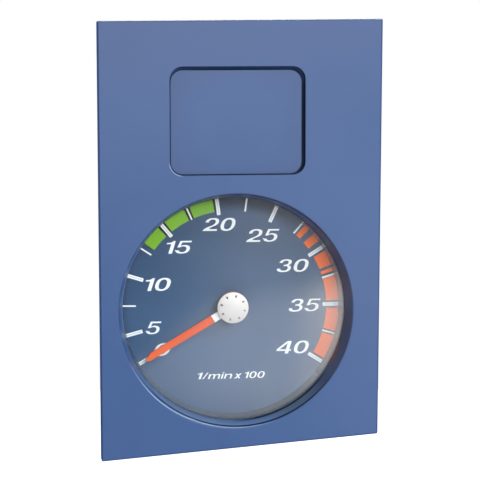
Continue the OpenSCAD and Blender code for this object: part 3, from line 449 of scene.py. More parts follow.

# the plate is darker near its outer edges: how far in from the right side,
# the left side and the slanting foot
half_width, foot_height = 50.5 * mm, -78.2 * mm
right_lean, left_lean, foot_slant = (tan(radians(a)) for a in (0.45, 0.1, 4.3))
from_right = maths(tree, "SUBTRACT", maths(tree, "MULTIPLY_ADD", z, right_lean, half_width), x)
from_left = maths(tree, "ADD", maths(tree, "MULTIPLY_ADD", z, left_lean, half_width), x)
from_foot = maths(tree, "SUBTRACT", z, maths(tree, "MULTIPLY_ADD", x, foot_slant, foot_height))
from_edge = maths(tree, "MINIMUM", maths(tree, "MINIMUM", from_right, from_left), from_foot)
edge_darkening = ramp(tree, from_edge, 0.7 * mm, 0.35 * mm, 0.0, 0.8)
laid_over(fascia_plastic, edge_darkening, (0.012, 0.045, 0.17, 1), 0.9)

# Window blank.
# A separate tray of the same blue plastic, staked behind the window of the fascia
# with four push-on clips of spring steel.
blank_plastic = finish(
    "blank_plastic", fascia_colour, 0.38, grain=2200.0, depth=0.014, drift=42.0, tone=0.05,
    edge=(0.02, 0.035, 0.1), edge_radius=0.35, edge_share=0.6, polish=0.2, dust=0.08,
    specular=0.35
)
dress("window_blank", blank_plastic)
# the same painted sheen over the blank
painted_sheen(blank_plastic)
tree = blank_plastic.node_tree
radius, x, y, z = position(tree)
right, above, outside = from_window(tree, x, z)
# painted shade on what shows of its side in the gap, bluer at the top
topmost = product(tree, ramp(tree, outside, -0.9 * mm, -0.6 * mm),
                  ramp(tree, above, 12 * mm, 18 * mm))
in_gap = gap_shade(tree, right, above, (0.001, 0.005, 0.014, 1))
in_gap = mixed(tree, topmost, in_gap, (0.04, 0.12, 0.34, 1))
side = product(tree, between(tree, outside, -2.3 * mm, 1.4 * mm, 0.4 * mm),
               ramp(tree, y, face_y + 1.2 * mm, face_y + 1.7 * mm))
laid_over(blank_plastic, side, in_gap, 1.0)
# it is greyer towards its edges and corners
from_middle = add(tree, "CombineXYZ", [right, 0.0, above])
spread = add(tree, "VectorMath", [from_middle.outputs[0]], operation="LENGTH").outputs["Value"]
laid_over(blank_plastic, ramp(tree, spread, 14 * mm, 27 * mm, 0.0, 0.4), (0.045, 0.075, 0.175, 1))
clip_steel = finish(
    "clip_steel", (0.42, 0.42, 0.43), 0.34, grain=900.0, depth=0.006, drift=160.0, tone=0.2,
    edge=(0.7, 0.7, 0.72), edge_radius=0.15, dust=0.15, metallic=1.0
)
dress("blank_clips", clip_steel)

# Fixing inserts.
# Four turned and threaded brass inserts, pressed hot into the bosses on the back of
# the fascia. The screws from the dashboard are driven into them.
insert_brass = finish(
    "insert_brass", (0.62, 0.43, 0.17), 0.3, grain=1500.0, depth=0.008, drift=300.0, tone=0.18,
    edge=(0.85, 0.68, 0.36), edge_radius=0.2, dust=0.1, metallic=1.0
)
dress("fixing_inserts", insert_brass)

# Seal and spacer ring.
# A black rubber ring seats the glass on the ledge of the collar, and a glossy
# grey ring behind the glass holds the dial at its distance.
seal_rubber = finish(
    "seal_rubber", (0.006, 0.007, 0.012), 0.62, grain=1800.0, depth=0.02, tone=0.2,
    edge=(0.02, 0.022, 0.03), dust=0.03, specular=0.2
)
dress("lens_seal", seal_rubber)
ring_gloss = finish(
    "ring_gloss", (0.05, 0.068, 0.108), 0.12, grain=700.0, depth=0.0015, drift=90.0, tone=0.06,
    even=0.02, edge_radius=0.2, edge_share=0.0, dust=0.0, specular=0.2
)
dress("spacer_ring", ring_gloss)
tree = ring_gloss.node_tree
spot = position(tree)
# painted light on its foot, bluer to the lower left, where its surface is also rougher
bluer = sector(tree, spot, 215, 60, 30.7)
foot_light = mixed(tree, bluer, (0.052, 0.084, 0.122, 1), (0.06, 0.105, 0.155, 1))
laid_over(ring_gloss, sector(tree, spot, 262, 69.5, 45.6), foot_light, 0.45)
# its front edge is lit at the left
radius = spot[0]
lit_edge = product(tree, ramp(tree, radius, 39.9 * mm, 40.3 * mm),
                   sector(tree, spot, 168, 31.8, 21.6))
laid_over(ring_gloss, lit_edge, (0.13, 0.195, 0.38, 1))

# Glass.
# A shallow clear moulding that lies against the seal. A very fine film on it
# scatters some light, most towards the lower right, where it was wiped least.
lens_clear, tree = bare_material("lens_clear")
radius, x, y, z = position(tree)
right = maths(tree, "SUBTRACT", x, dial_x)
down = maths(tree, "SUBTRACT", dial_z, z)
# one layer thickens from left to right, and is thinner at the very top
rising = product(tree, ramp(tree, right, -36 * mm, 18 * mm, 0.007, 0.228, soft=True),
                 ramp(tree, down, -39 * mm, -31 * mm, 0.7, 1.0, soft=True))
# another lies below an edge, which slopes gently to the right and steeply at the left
gentle = product(tree, right, 0.2)
steep = product(tree, maths(tree, "MAXIMUM", maths(tree, "SUBTRACT", -10 * mm, right), 0.0), 0.6)
below_edge = maths(tree, "ADD", maths(tree, "ADD", down, gentle), 1.8 * mm)
below_edge = maths(tree, "SUBTRACT", below_edge, steep)
lower = product(
    tree, ramp(tree, below_edge, -8 * mm, 8 * mm, soft=True),
    ramp(tree, right, 18 * mm, 40 * mm, 0.248, 0.8, soft=True),
    ramp(tree, down, 27 * mm, 40 * mm, 1.0, 0.4)
)
smears = add(tree, "TexNoise", {
    "Vector": add(tree, "TexCoord").outputs["Object"], "Scale": 24.0, "Detail": 3.0,
    "Distortion": 0.8
})
uneven = ramp(tree, smears.outputs["Fac"], 0.3, 0.7, 0.92, 1.08)
film = maths(tree, "MULTIPLY", maths(tree, "ADD", rising, lower), uneven, use_clamp=True)
clear = add(tree, "BsdfPrincipled", {
    "Base Color": (1, 1, 1, 1), "Roughness": 0.0, "IOR": 1.12, "Transmission Weight": 1.0,
    "Coat Weight": film, "Coat Roughness": 0.2, "Coat IOR": 2.2
})
# light from the lamps and the room reaches the dial straight through it
path = add(tree, "LightPath").outputs
open_way = add(tree, "BsdfTransparent", {"Color": (0.99, 0.99, 0.99, 1)}).outputs[0]
room_way = add(tree, "MixShader", [path["Is Diffuse Ray"], clear.outputs[0], open_way])
lamp_way = add(tree, "MixShader", [path["Is Shadow Ray"], room_way.outputs[0], open_way])
add(tree, "OutputMaterial", [lamp_way.outputs[0]])
dress("lens", lens_clear)

# Dial.
# A thin plastic sheet, screen printed: a slate blue ground, white marks and
# figures, and a green and an orange zone with fine dark lines beside the marks.
dial_y = 3.0 * mm
dial_radius = 40.5
mark_start = 33.7
minor_start = 34.9
zone_start = 35.05
mark_width = 1.32
minor_width = 0.57
first_mark = 211.47
mark_step = 16.256
mark_count = 16
ink = 0.03 * mm

dial_ground = finish(
    "dial_ground", (0.0465, 0.1075, 0.22), 0.5, grain=5200.0, depth=0.0012, drift=22.0, tone=0.05,
    edge_share=0.0, dust=0.0, specular=0.15
)
dress("dial_plate", dial_ground)
# painted shade on the ground, darker towards the top, where the collar shades it
tree = dial_ground.node_tree
spot = position(tree)
radius, x, y, z = spot
laid_over(dial_ground, ramp(tree, z, dial_z - 20 * mm, dial_z + 28 * mm), (0.0315, 0.073, 0.15, 1))
# more painted shade at the upper left, the left margin and the top margin: direction, degrees
# off it and millimetres from the axis where each ends and is full, share and colour
for angle, reach, full, start, end, most, colour in (
    (150, 30.7, 11.5, 14, 22, 0.25, (0.02, 0.055, 0.12, 1)),
    (160, 41.4, 18.2, 37.6, 39.3, 0.6, (0.012, 0.035, 0.075, 1)),
    (85, 36.9, 16.3, 34.6, 38.2, 0.95, (0.003, 0.017, 0.046, 1)),
):
    margin_shade = product(tree, ramp(tree, radius, start * mm, end * mm, high=most),
                     sector(tree, spot, angle, reach, full))
    laid_over(dial_ground, margin_shade, colour)


def print_on_dial(name, outlines, material, height=ink, lift=0.0):
    """A printed film on the dial: closed outlines in millimetres from the dial's centre."""
    curve = bpy.data.curves.new(name, "CURVE")
    curve.dimensions = "2D"
    curve.fill_mode = "BOTH"
    curve.extrude = height / 2
    for outline in outlines:
        spline = curve.splines.new("POLY")
        spline.points.add(len(outline) - 1)
        for point, (x, z) in zip(spline.points, outline):
            point.co = (x * mm, z * mm, 0, 1)
        spline.use_cyclic_u = True
    drawn = put(name + "_drawn", curve)
    bpy.context.view_layer.update()
    mesh = bpy.data.meshes.new_from_object(
        drawn.evaluated_get(bpy.context.evaluated_depsgraph_get())
    )
    bpy.data.objects.remove(drawn)
    mesh.transform(
        Matrix.Translation((dial_x, dial_y - lift - height / 2, dial_z))
        @ Matrix.Rotation(radians(90), 4, "X")
    )
    mesh.shade_flat()
    mesh.materials.clear()
    mesh.materials.append(material)
    piece = put(name, mesh)
    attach(piece, "instrument")


def polar(radius, angle):
    """A point at a radius and an angle in degrees, from the right-hand side."""
    return radius * cos(radians(angle)), radius * sin(radians(angle))


def bar(angle, inner, outer, width):
    """A straight mark across the edge of the dial."""
    x, z = polar(1, angle)
    half = width / 2
    return [
        (inner * x + half * z, inner * z - half * x), (outer * x + half * z, outer * z - half * x),
        (outer * x - half * z, outer * z + half * x), (inner * x - half * z, inner * z + half * x)
    ]


def band(start, end, inner, outer):
    """A piece of a ring between two angles."""
    steps = max(2, int(abs(end - start) / 1.5))
    angles = [start + (end - start) * i / steps for i in range(steps + 1)]
    return [polar(inner, a) for a in angles] + [polar(outer, a) for a in reversed(angles)]


def printing(name, colour, roughness=0.45, tone=0.04):
    """Screen-printing ink, slightly uneven, with the mesh of the screen in its surface."""
    return finish(name, colour, roughness, grain=6000.0, depth=0.005, drift=120.0, tone=tone,
                  edge_radius=0.05, edge_share=0.2, dust=0.0, specular=0.1)


white_ink = printing("white_ink", (0.9, 0.96, 1.0))
soft_white_ink = printing("soft_white_ink", (0.6, 0.66, 0.72))
green_ink = printing("green_ink", (0.205, 0.48, 0.03), tone=0.1)
tree = green_ink.node_tree
radius, x, y, z = position(tree)
# painted shade on the green zone, darker towards its upper, right-hand end
laid_over(green_ink, ramp(tree, x, -24 * mm, -12 * mm, 0.0, 0.2), (0.1, 0.25, 0.04, 1))
orange_ink = printing("orange_ink", (1.0, 0.15, 0.0))
dark_ink = printing("dark_ink", (0.003, 0.004, 0.008))

major = [k for k in range(mark_count) if k in (0, 1) or k % 2 == 1]
minor = [k for k in range(mark_count) if k not in major]
# the printed scale isn't quite even
uneven_marks = {1: -0.38, 4: 0.26, 6: 0.38, 8: 0.23, 11: -0.37, 14: 0.26}
angle_of = [first_mark - mark_step * k + uneven_marks.get(k, 0.0) for k in range(mark_count)]
print_on_dial(
    "major_marks", [bar(angle_of[k], mark_start, dial_radius, mark_width) for k in major],
    white_ink
)
print_on_dial(
    "mark_centres",
    [bar(angle_of[k], mark_start + 0.5, dial_radius - 0.3, mark_width / 4) for k in major],
    soft_white_ink, height=0.01 * mm, lift=ink
)
broader = {8: 1.1, 10: 1.1, 12: 1.3, 14: 1.2}
print_on_dial(
    "minor_marks",
    [bar(angle_of[k], minor_start, dial_radius, minor_width * broader.get(k, 1.0)) for k in minor],
    white_ink
)

green_parts = [(143.4, 132.45), (128.1, 115.95), (112.75, 100.0)]
print_on_dial(
    "green_zone", [band(a, b, zone_start, dial_radius) for a, b in green_parts],
    green_ink
)
orange_parts = [(47.1, 44.0), (40.65, 36.0), (29.9, 21.75), (20.15, 18.2), (15.65, 2.25),
                (-1.95, -14.55), (-17.05, -30.2)]
print_on_dial(
    "orange_zone", [band(a, b, zone_start, dial_radius) for a, b in orange_parts],
    orange_ink
)
# dark strips that close the gaps between the zones and the marks in them
dark_parts = [(143.7, 143.4), (132.45, 128.1), (115.95, 112.75), (100.0, 98.6),
              (18.2, 15.65), (2.25, 1.9), (-1.6, -1.95), (-14.55, -17.05), (-30.2, -30.6)]
print_on_dial(
    "zone_lines", [band(a, b, zone_start, dial_radius) for a, b in dark_parts],
    dark_ink, height=ink * 0.7
)

# Figures.
# Wide, bold, slanting figures without serifs, and the unit in the same hand, screen
# printed on the dial in white ink. Each is drawn here on a height of one, upright,
# and slanted when it is printed.
slant = 0.27


def bow(cx, cz, rx, rz, start, end, steps=14, fullness=2.35):
    """Points of a full oval about a centre, from one angle to another."""
    points = []
    for i in range(steps + 1):
        a = radians(start + (end - start) * i / steps)
        c, s = cos(a), sin(a)
        points.append((
            cx + rx * (abs(c) ** (2 / fullness)) * (1 if c >= 0 else -1),
            cz + rz * (abs(s) ** (2 / fullness)) * (1 if s >= 0 else -1)
        ))
    return points


stem, beam = 0.26, 0.16
figure_shapes = {
    "0": (0.97, [
        bow(0.485, 0.5, 0.485, 0.51, 0, 360, 47)[:-1],
        bow(0.485, 0.5, 0.485 - stem, 0.51 - beam, 0, 360, 47)[:-1],
    ]),
    "1": (0.6, [[
        (0.33, 0), (0.6, 0), (0.6, 1), (0.41, 1), (0.38, 0.93), (0.3, 0.885), (0.2, 0.865),
        (0.04, 0.86), (0.04, 0.72), (0.33, 0.72)
    ]]),
    "2": (0.97, [
        [(0.03, 0.64)] + bow(0.49, 0.69, 0.46, 0.32, 182, 0)
        + [(0.945, 0.6), (0.9, 0.51), (0.8, 0.42), (0.64, 0.335), (0.5, 0.26), (0.42, 0.17),
           (0.97, 0.17), (0.97, 0), (0, 0), (0.02, 0.1), (0.08, 0.19), (0.19, 0.28),
           (0.36, 0.37), (0.53, 0.45), (0.64, 0.53), (0.685, 0.62)]
        + bow(0.49, 0.69, 0.2, 0.17, 0, 180) + [(0.29, 0.64)]
    ]),
    "3": (0.95, [
        [(0.045, 0.69)] + bow(0.47, 0.735, 0.42, 0.275, 180, 0)
        + [(0.88, 0.66), (0.84, 0.59), (0.76, 0.53), (0.85, 0.49), (0.92, 0.42)]
        + bow(0.475, 0.29, 0.475, 0.3, 12, -180)
        + [(0.25, 0.31)] + bow(0.475, 0.29, 0.22, 0.145, 180, 360)
        + [(0.69, 0.36), (0.64, 0.42), (0.55, 0.445), (0.37, 0.45), (0.37, 0.59),
           (0.52, 0.595), (0.6, 0.63), (0.635, 0.69)]
        + bow(0.47, 0.735, 0.17, 0.125, 0, 180) + [(0.3, 0.69)]
    ]),
    "4": (1.0, [
        [(0.6, 0), (0.86, 0), (0.86, 0.21), (1.0, 0.21), (1.0, 0.36), (0.86, 0.36), (0.86, 1.0),
         (0.55, 1.0), (0.0, 0.38), (0.0, 0.21), (0.6, 0.21)],
        [(0.6, 0.36), (0.6, 0.8), (0.22, 0.36)],
    ]),
    "5": (0.95, [
        [(0.15, 1.0), (0.92, 1.0), (0.92, 0.84), (0.34, 0.84), (0.3, 0.63), (0.4, 0.67)]
        + bow(0.475, 0.345, 0.475, 0.345, 88, -176)
        + [(0.0, 0.29), (0.25, 0.29)] + bow(0.475, 0.345, 0.22, 0.2, 196, 450)
        + [(0.37, 0.535), (0.28, 0.47), (0.06, 0.46)]
    ]),
    "/": (0.5, [[(0.0, 0.0), (0.16, 0.0), (0.5, 1.0), (0.34, 1.0)]]),
    "m": (1.3, [
        [(0, 0), (0.21, 0), (0.21, 0.46), (0.28, 0.56), (0.39, 0.59), (0.49, 0.57), (0.545, 0.5),
         (0.545, 0), (0.755, 0), (0.755, 0.46), (0.82, 0.56), (0.93, 0.59), (1.03, 0.57),
         (1.09, 0.5), (1.09, 0), (1.3, 0), (1.3, 0.54), (1.25, 0.68), (1.13, 0.75),
         (0.98, 0.755), (0.84, 0.71), (0.74, 0.63), (0.66, 0.72), (0.53, 0.76), (0.38, 0.745),
         (0.27, 0.69), (0.2, 0.62), (0.2, 0.74), (0, 0.74)]
    ]),
    "i": (0.21, [
        [(0, 0), (0.21, 0), (0.21, 0.74), (0, 0.74)], [(0, 0.85), (0.21, 0.85), (0.21, 1), (0, 1)]
    ]),
    "n": (0.86, [
        [(0, 0), (0.21, 0), (0.21, 0.46), (0.29, 0.56), (0.42, 0.59), (0.56, 0.57), (0.65, 0.48),
         (0.65, 0), (0.86, 0), (0.86, 0.54), (0.8, 0.68), (0.66, 0.75), (0.46, 0.755),
         (0.29, 0.7), (0.2, 0.62), (0.2, 0.74), (0, 0.74)]
    ]),
    "x": (0.78, [
        [(0, 0), (0.25, 0), (0.39, 0.2), (0.53, 0), (0.78, 0), (0.52, 0.37), (0.77, 0.74),
         (0.52, 0.74), (0.39, 0.55), (0.26, 0.74), (0.01, 0.74), (0.26, 0.37)]
    ]),
}


def drawn_in(loop, inset):
    """A closed outline made smaller all round by a fine distance."""
    turning = sum(x * loop[i - 1][1] - loop[i - 1][0] * z for i, (x, z) in enumerate(loop))
    side = -inset if turning > 0 else inset
    smaller = []
    for i, (x, z) in enumerate(loop):
        before, after = loop[i - 1], loop[(i + 1) % len(loop)]
        back = hypot(x - before[0], z - before[1]) or 1
        ahead = hypot(after[0] - x, after[1] - z) or 1
        out_x = -(z - before[1]) / back - (after[1] - z) / ahead
        out_z = (x - before[0]) / back + (after[0] - x) / ahead
        reach = 2 * side / max(0.8, out_x ** 2 + out_z ** 2)
        smaller.append((x + out_x * reach, z + out_z * reach))
    return smaller


def words(text, centre, height, width, inset, gap=0.12):
    """Outlines of a row of figures, slanted, to a height and a width about a centre."""
    outlines, pen = [], 0.0
    for sign in text:
        advance, loops = figure_shapes[sign]
        for index, loop in enumerate(loops):
            hole = index == 1 and sign in "04"
            outlines.append((hole, [(pen + x + slant * z, z) for x, z in loop]))
        pen += advance + gap
    low = min(x for hole, loop in outlines for x, z in loop)
    high = max(x for hole, loop in outlines for x, z in loop)
    scale = (width + 2 * inset) / (high - low)
    rise = height + 2 * inset
    return [
        drawn_in([(centre[0] + (x - (low + high) / 2) * scale, centre[1] + (z - 0.5) * rise)
                  for x, z in loop], -inset if hole else inset)
        for hole, loop in outlines
    ]


figure_height = 4.62
figure_inset = 0.1
figure_places = {
    "0": ((-25.35, -15.5), 5.95), "5": ((-28.45, -7.48), 5.65), "10": ((-26.75, 8.4), 9.2),
    "15": ((-18.97, 21.85), 9.25), "20": ((-4.49, 29.94), 12.15), "25": ((11.5, 25.7), 12.4),
    "30": ((22.62, 14.5), 11.75), "35": ((27.07, -0.17), 11.85), "40": ((22.58, -15.65), 12.1),
}
figures = []
for text, (centre, width) in figure_places.items():
    figures += words(text, centre, figure_height, width, figure_inset)
print_on_dial("figures", figures, white_ink)

unit_height = 2.42
unit_level = -25.56
unit_places = {"1/min": (-6.12, 12.8), "x": (2.33, 2.9), "100": (8.6, 7.35)}
unit = []
for text, (middle, width) in unit_places.items():
    unit += words(text, (middle, unit_level), unit_height, width, 0.03, gap=0.14)
print_on_dial("unit_words", unit, white_ink)

# Pointer.
# An orange moulding on a hub. Its root is painted white up to a fine dark line,
# so that only the blade reads against the scale.
pointer_plastic = finish(
    "pointer_plastic", (0.74, 0.082, 0.002), 0.45, grain=3200.0, depth=0.006, drift=80.0, tone=0.05,
    edge=(0.5, 0.05, 0.01), edge_radius=0.12, edge_share=0.5, dust=0.0, specular=0.08
)
dress("pointer", pointer_plastic)
# its tip is a little paler
tree = pointer_plastic.node_tree
radius, x, y, z = position(tree)
laid_over(pointer_plastic, ramp(tree, radius, 22 * mm, 32 * mm), (0.83, 0.115, 0.012, 1))

pointer_front = -0.4
pointer_thick = 1.0
rest_angle = 210.5
root_start, root_end = 5.0, 8.3
root_from, root_to = 2.7, 2.8
paint_skin = 0.03
# the paint reaches this share of the way back, and lies this far into the pointer
paint_depth, paint_bite = 0.85, 0.02


def over_pointer(name, start, end, width_start, width_end, proud, material):
    """A skin over the front and the two sides of the pointer, between two distances."""
    shape = bmesh.new()
    front = pointer_front - proud
    inside = pointer_front + paint_bite
    back = pointer_front + pointer_thick * paint_depth
    rings = []
    for distance, width in ((start, width_start), (end, width_end)):
        half = width / 2 + proud
        inner = width / 2 - paint_bite
        rings.append([
            shape.verts.new((distance * mm, y * mm, z * mm))
            for y, z in ((back, -half), (front, -half), (front, half), (back, half),
                         (back, inner), (inside, inner), (inside, -inner), (back, -inner))
        ])
    count = len(rings[0])
    for i in range(count):
        j = (i + 1) % count
        shape.faces.new((rings[0][i], rings[0][j], rings[1][j], rings[1][i]))
    for ring in (rings[0], rings[1][::-1]):
        for quad in ((0, 1, 6, 7), (1, 2, 5, 6), (2, 3, 4, 5)):
            shape.faces.new([ring[i] for i in quad])
    bmesh.ops.recalc_face_normals(shape, faces=shape.faces)
    mesh = bpy.data.meshes.new(name)
    shape.to_mesh(mesh)
    shape.free()
    mesh.transform(
        Matrix.Translation((dial_x, 0, dial_z)) @ Matrix.Rotation(radians(-rest_angle), 4, "Y")
    )
    mesh.materials.append(material)
    piece = put(name, mesh)
    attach(piece, "needle")


root_paint = finish(
    "root_paint", (0.94, 0.95, 0.93), 0.35, grain=3000.0, depth=0.004, tone=0.03, edge_share=0.0,
    dust=0.0
)
over_pointer("pointer_root_paint", root_start, root_end, root_from, root_to, paint_skin,
             root_paint)
line_start, line_end = root_end + 0.01, root_end + 0.14
over_pointer("pointer_root_line", line_start, line_end, root_to, root_to, paint_skin * 0.7,
             dark_ink)

# Cap.
# A white domed cap pressed on the hub, with a ring of eight small dimples that
# are painted dark with shade.
cap_plastic = finish(
    "cap_plastic", (0.665, 0.665, 0.66), 0.4, grain=2000.0, depth=0.012, drift=300.0, tone=0.03,
    edge=(0.85, 0.85, 0.84), edge_radius=0.2, edge_share=0.3, dust=0.02
)
dress("pointer_cap", cap_plastic)
dimple_ring = 4.3 * mm
dimple_count = 8
dimple_half_width, dimple_half_length = 0.33 * mm, 0.5 * mm
tree = cap_plastic.node_tree
spot = position(tree)
radius, x, y, z = spot
turned = maths(tree, "ARCTAN2", maths(tree, "SUBTRACT", z, dial_z),
               maths(tree, "SUBTRACT", x, dial_x))
turned = maths(tree, "SUBTRACT", turned, radians(rest_angle))
share = maths(tree, "ADD", product(tree, turned, dimple_count / (2 * pi)), 0.5)
aside = maths(tree, "SUBTRACT", maths(tree, "FRACT", share), 0.5)
aside = product(tree, aside, 2 * pi / dimple_count * dimple_ring / dimple_half_width)
outward = maths(tree, "SUBTRACT", radius, dimple_ring)
outward = maths(tree, "DIVIDE", outward, dimple_half_length)
far = maths(tree, "SQRT", maths(tree, "ADD", *(product(tree, v, v) for v in (aside, outward))))
# painted light on the dome at the upper right, and painted shade at the lower left
toward_light = product(tree, towards(tree, spot, 65), radius)
laid_over(cap_plastic, ramp(tree, toward_light, 0.0, 4 * mm, 0.0, 0.55), (0.84, 0.84, 0.83, 1))
laid_over(cap_plastic, ramp(tree, toward_light, 1 * mm, -4 * mm, 0.0, 0.5), (0.5, 0.515, 0.495, 1))
# painted shade in the dimples, least at the lower right
dimple_shade = product(tree, ramp(tree, far, 1.15, 0.85), sector(tree, spot, 120, 134.4, 72.5, low=0.62))
laid_over(cap_plastic, dimple_shade, (0.006, 0.006, 0.006, 1))
# its side is a darker brown-grey
laid_over(cap_plastic, ramp(tree, radius, 5.6 * mm, 5.68 * mm), (0.16, 0.13, 0.12, 1))

# the hub's rim, which shows as a fine orange line round the cap but for the pointer's root
shape = bmesh.new()
rim_inner, rim_outer, rim_front, rim_back = 5.4, 5.74, -0.88, -0.5
rim_chamfer, rim_gap = 0.08, 26
steps = 64
rings = []
for i in range(steps + 1):
    a = radians(rest_angle + rim_gap + (360 - 2 * rim_gap) * i / steps)
    rings.append([
        shape.verts.new((r * cos(a) * mm + dial_x, d * mm, r * sin(a) * mm + dial_z))
        for r, d in ((rim_inner, rim_front), (rim_outer - rim_chamfer, rim_front),
                     (rim_outer, rim_front + rim_chamfer), (rim_outer, rim_back),
                     (rim_inner, rim_back))
    ])
corners = len(rings[0])
for ring, following in zip(rings, rings[1:]):
    for i in range(corners):
        j = (i + 1) % corners
        shape.faces.new((ring[i], ring[j], following[j], following[i]))
shape.faces.new(rings[0])
shape.faces.new(rings[-1][::-1])
bmesh.ops.recalc_face_normals(shape, faces=shape.faces)
rim_mesh = bpy.data.meshes.new("hub_rim")
shape.to_mesh(rim_mesh)
shape.free()
hub_plastic = finish(
    "hub_plastic", (0.6, 0.08, 0.02), 0.5, grain=3200.0, depth=0.004, drift=80.0, tone=0.05,
    edge_share=0.0, dust=0.0, specular=0.2
)
tree = hub_plastic.node_tree
# painted shade on the rim's left side
in_shade = sector(tree, position(tree), 172, 45.6, 18.2)
laid_over(hub_plastic, in_shade, (0.06, 0.02, 0.02, 1))
rim_mesh.materials.append(hub_plastic)
hub_rim = put("hub_rim", rim_mesh)
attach(hub_rim, "needle")

# Movement.
# The crossed-coil movement behind the dial: a steel spindle with its magnet in brass
# bearings, two coils of enamelled copper wire on a cream moulded former, and a
# pressed steel can that closes it in, held by screws.
bright_steel = finish(
    "bright_steel", (0.5, 0.5, 0.52), 0.26, grain=1100.0, depth=0.005, drift=220.0, tone=0.14,
    edge=(0.78, 0.78, 0.8), edge_radius=0.15, dust=0.04, metallic=1.0
)
magnet_grey = finish(
    "magnet_grey", (0.09, 0.09, 0.1), 0.55, grain=1400.0, depth=0.03, drift=260.0, tone=0.25,
    edge=(0.3, 0.3, 0.32), edge_radius=0.2, dust=0.05, metallic=0.4
)
former_cream = finish(
    "former_cream", (0.62, 0.56, 0.4), 0.5, grain=1900.0, depth=0.012, drift=120.0, tone=0.06,
    edge_radius=0.3, edge_share=0.3, dust=0.1
)
turned_brass = finish(
    "turned_brass", (0.62, 0.43, 0.17), 0.25, grain=1500.0, depth=0.006, drift=300.0, tone=0.15,
    edge=(0.85, 0.68, 0.36), edge_radius=0.15, dust=0.03, metallic=1.0
)
for name in ("spindle", "zero_stop_pin", "shield_can", "movement_screws"):
    dress(name, bright_steel)
for name in ("rotor_magnet", "return_magnet"):
    dress(name, magnet_grey)
for name in ("former_front", "former_rear"):
    dress(name, former_cream)
for name in ("stop_sector", "front_bush", "rear_bearing"):
    dress(name, turned_brass)


def winding(name, axis):
    """Enamelled wire laid side by side: fine ridges across one axis, in a copper red."""
    material, tree = bare_material(name)
    place = add(tree, "TexCoord").outputs["Object"]
    turns = add(tree, "TexWave", {
        "Vector": place, "Scale": 900.0, "Distortion": 0.6, "Detail": 2.0
    }, bands_direction=axis)
    base = mixed(tree, turns.outputs["Fac"], (0.22, 0.06, 0.02, 1), (0.68, 0.27, 0.1, 1))
    shader = add(tree, "BsdfPrincipled", {
        "Base Color": base, "Roughness": ramp(tree, turns.outputs["Fac"], 0.0, 1.0, 0.45, 0.24),
        "Metallic": 0.6, "Coat Weight": 0.5, "Coat Roughness": 0.2,
        "Normal": relief(tree, turns.outputs["Fac"], 0.05)
    })
    add(tree, "OutputMaterial", [shader.outputs[0]])
    return material


dress("coil_inner", winding("inner_winding", "X"))
dress("coil_outer", winding("outer_winding", "Z"))

# Circuit board.
# A round lacquered board with its tracks under the green mask, a chip on two rows
# of legs, two capacitors and four banded resistors, and its three screws.
board_mask, tree = bare_material("board_mask")
place = add(tree, "TexCoord").outputs["Object"]
turned_place = add(tree, "Mapping", {"Vector": place, "Rotation": (radians(90), 0, 0)})
tracks = add(tree, "TexBrick", {
    "Vector": turned_place.outputs[0], "Scale": 90.0, "Mortar Size": 0.03,
    "Color1": (0.02, 0.13, 0.05, 1), "Color2": (0.03, 0.16, 0.06, 1),
    "Mortar": (0.05, 0.26, 0.1, 1), "Brick Width": 0.7, "Row Height": 0.22
})
weave = add(tree, "TexNoise", {"Vector": place, "Scale": 1500.0, "Detail": 2.0})
shader = add(tree, "BsdfPrincipled", {
    "Base Color": tracks.outputs["Color"],
    "Roughness": ramp(tree, weave.outputs["Fac"], 0.0, 1.0, 0.2, 0.4),
    "Normal": relief(tree, tracks.outputs["Fac"], 0.04)
})
add(tree, "OutputMaterial", [shader.outputs[0]])
dress("circuit_board", board_mask)

chip_resin = finish(
    "chip_resin", (0.016, 0.016, 0.018), 0.48, grain=2600.0, depth=0.02, tone=0.1,
    edge=(0.06, 0.06, 0.065), edge_radius=0.2, dust=0.1
)
dress("driver_chip", chip_resin)
sleeve_blue = finish(
    "sleeve_blue", (0.02, 0.035, 0.13), 0.22, grain=900.0, depth=0.006, drift=200.0, tone=0.12,
    edge=(0.08, 0.12, 0.3), edge_radius=0.2, dust=0.06
)
dress("capacitors", sleeve_blue)
dress("board_screws", bright_steel)

resistor_lacquer, tree = bare_material("resistor_lacquer")
place = add(tree, "TexCoord").outputs["Object"]
bands = add(tree, "TexWave", {
    "Vector": place, "Scale": 210.0, "Distortion": 0.0
}, bands_direction="X")
painted = ramp(tree, bands.outputs["Fac"], 0.72, 0.8)
speck = add(tree, "TexNoise", {"Vector": place, "Scale": 900.0, "Detail": 3.0})
body = mixed(tree, speck.outputs["Fac"], (0.5, 0.34, 0.17, 1), (0.6, 0.42, 0.24, 1))
base = mixed(tree, painted, body, (0.28, 0.05, 0.02, 1))
shader = add(tree, "BsdfPrincipled", {
    "Base Color": base, "Roughness": 0.3, "Normal": relief(tree, speck.outputs["Fac"], 0.01)
})
add(tree, "OutputMaterial", [shader.outputs[0]])
dress("resistors", resistor_lacquer)


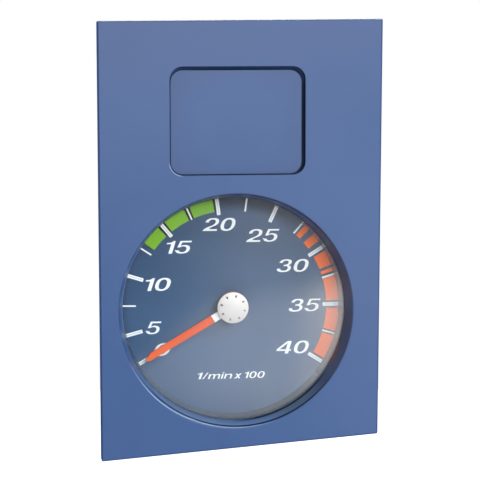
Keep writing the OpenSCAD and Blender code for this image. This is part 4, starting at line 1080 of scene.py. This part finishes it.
# Light guide.
# A disc of clear moulded plastic with a frosted skin. It lies behind the dial and
# spreads the light of the two lamps over it.
def clear_moulding(name, colour, roughness, ior, ripple, detail):
    """Clear plastic or glass with a fine ripple in its skin."""
    material, tree = bare_material(name)
    skin = add(tree, "TexNoise", {
        "Vector": add(tree, "TexCoord").outputs["Object"], "Scale": ripple, "Detail": detail
    })
    clear = add(tree, "BsdfPrincipled", {
        "Base Color": colour, "Roughness": roughness, "IOR": ior,
        "Transmission Weight": 1.0, "Normal": relief(tree, skin.outputs["Fac"], 0.02)
    })
    add(tree, "OutputMaterial", [clear.outputs[0]])
    return material


dress("light_guide", clear_moulding("guide_clear", (0.95, 0.97, 0.97, 1), 0.18, 1.49, 1300.0, 2.0))

# Case.
# A black moulded cup with a flange, four ears and twelve gussets, held to the
# back of the fascia by four screws.
case_plastic = finish(
    "case_plastic", (0.024, 0.024, 0.027), 0.5, grain=1500.0, depth=0.03, drift=60.0, tone=0.12,
    edge=(0.09, 0.09, 0.1), edge_radius=0.5, edge_share=0.7, dust=0.3
)
dress("housing", case_plastic)
dress("housing_screws", bright_steel)

# Terminals.
# A strip of brown moulded resin in the bottom of the case. Three flat blades,
# stamped from brass, are pushed through it.
strip_resin = finish(
    "strip_resin", (0.15, 0.06, 0.028), 0.4, grain=1300.0, depth=0.02, drift=240.0, tone=0.2,
    edge=(0.3, 0.16, 0.09), edge_radius=0.3, dust=0.2
)
dress("terminal_strip", strip_resin)
blade_brass = finish(
    "blade_brass", (0.66, 0.47, 0.2), 0.3, grain=1200.0, depth=0.006, drift=200.0, tone=0.2,
    edge=(0.88, 0.72, 0.42), edge_radius=0.15, dust=0.06, metallic=1.0
)
dress("terminal_blades", blade_brass)

# Lamps.
# Two small glass wedge lamps, each pushed into a grey moulded holder that locks in
# the back of the case with a twist. Lamp and holder turn together.
holder_plastic = finish(
    "holder_plastic", (0.5, 0.5, 0.48), 0.45, grain=1700.0, depth=0.016, drift=150.0, tone=0.07,
    edge=(0.72, 0.72, 0.7), edge_radius=0.35, edge_share=0.5, dust=0.25
)
lamp_glass = clear_moulding("lamp_glass", (0.98, 0.97, 0.93, 1), 0.02, 1.5, 400.0, 1.0)
for side in ("left", "right"):
    dress("lamp_holder_" + side, holder_plastic)
    dress("lamp_bulb_" + side, lamp_glass)
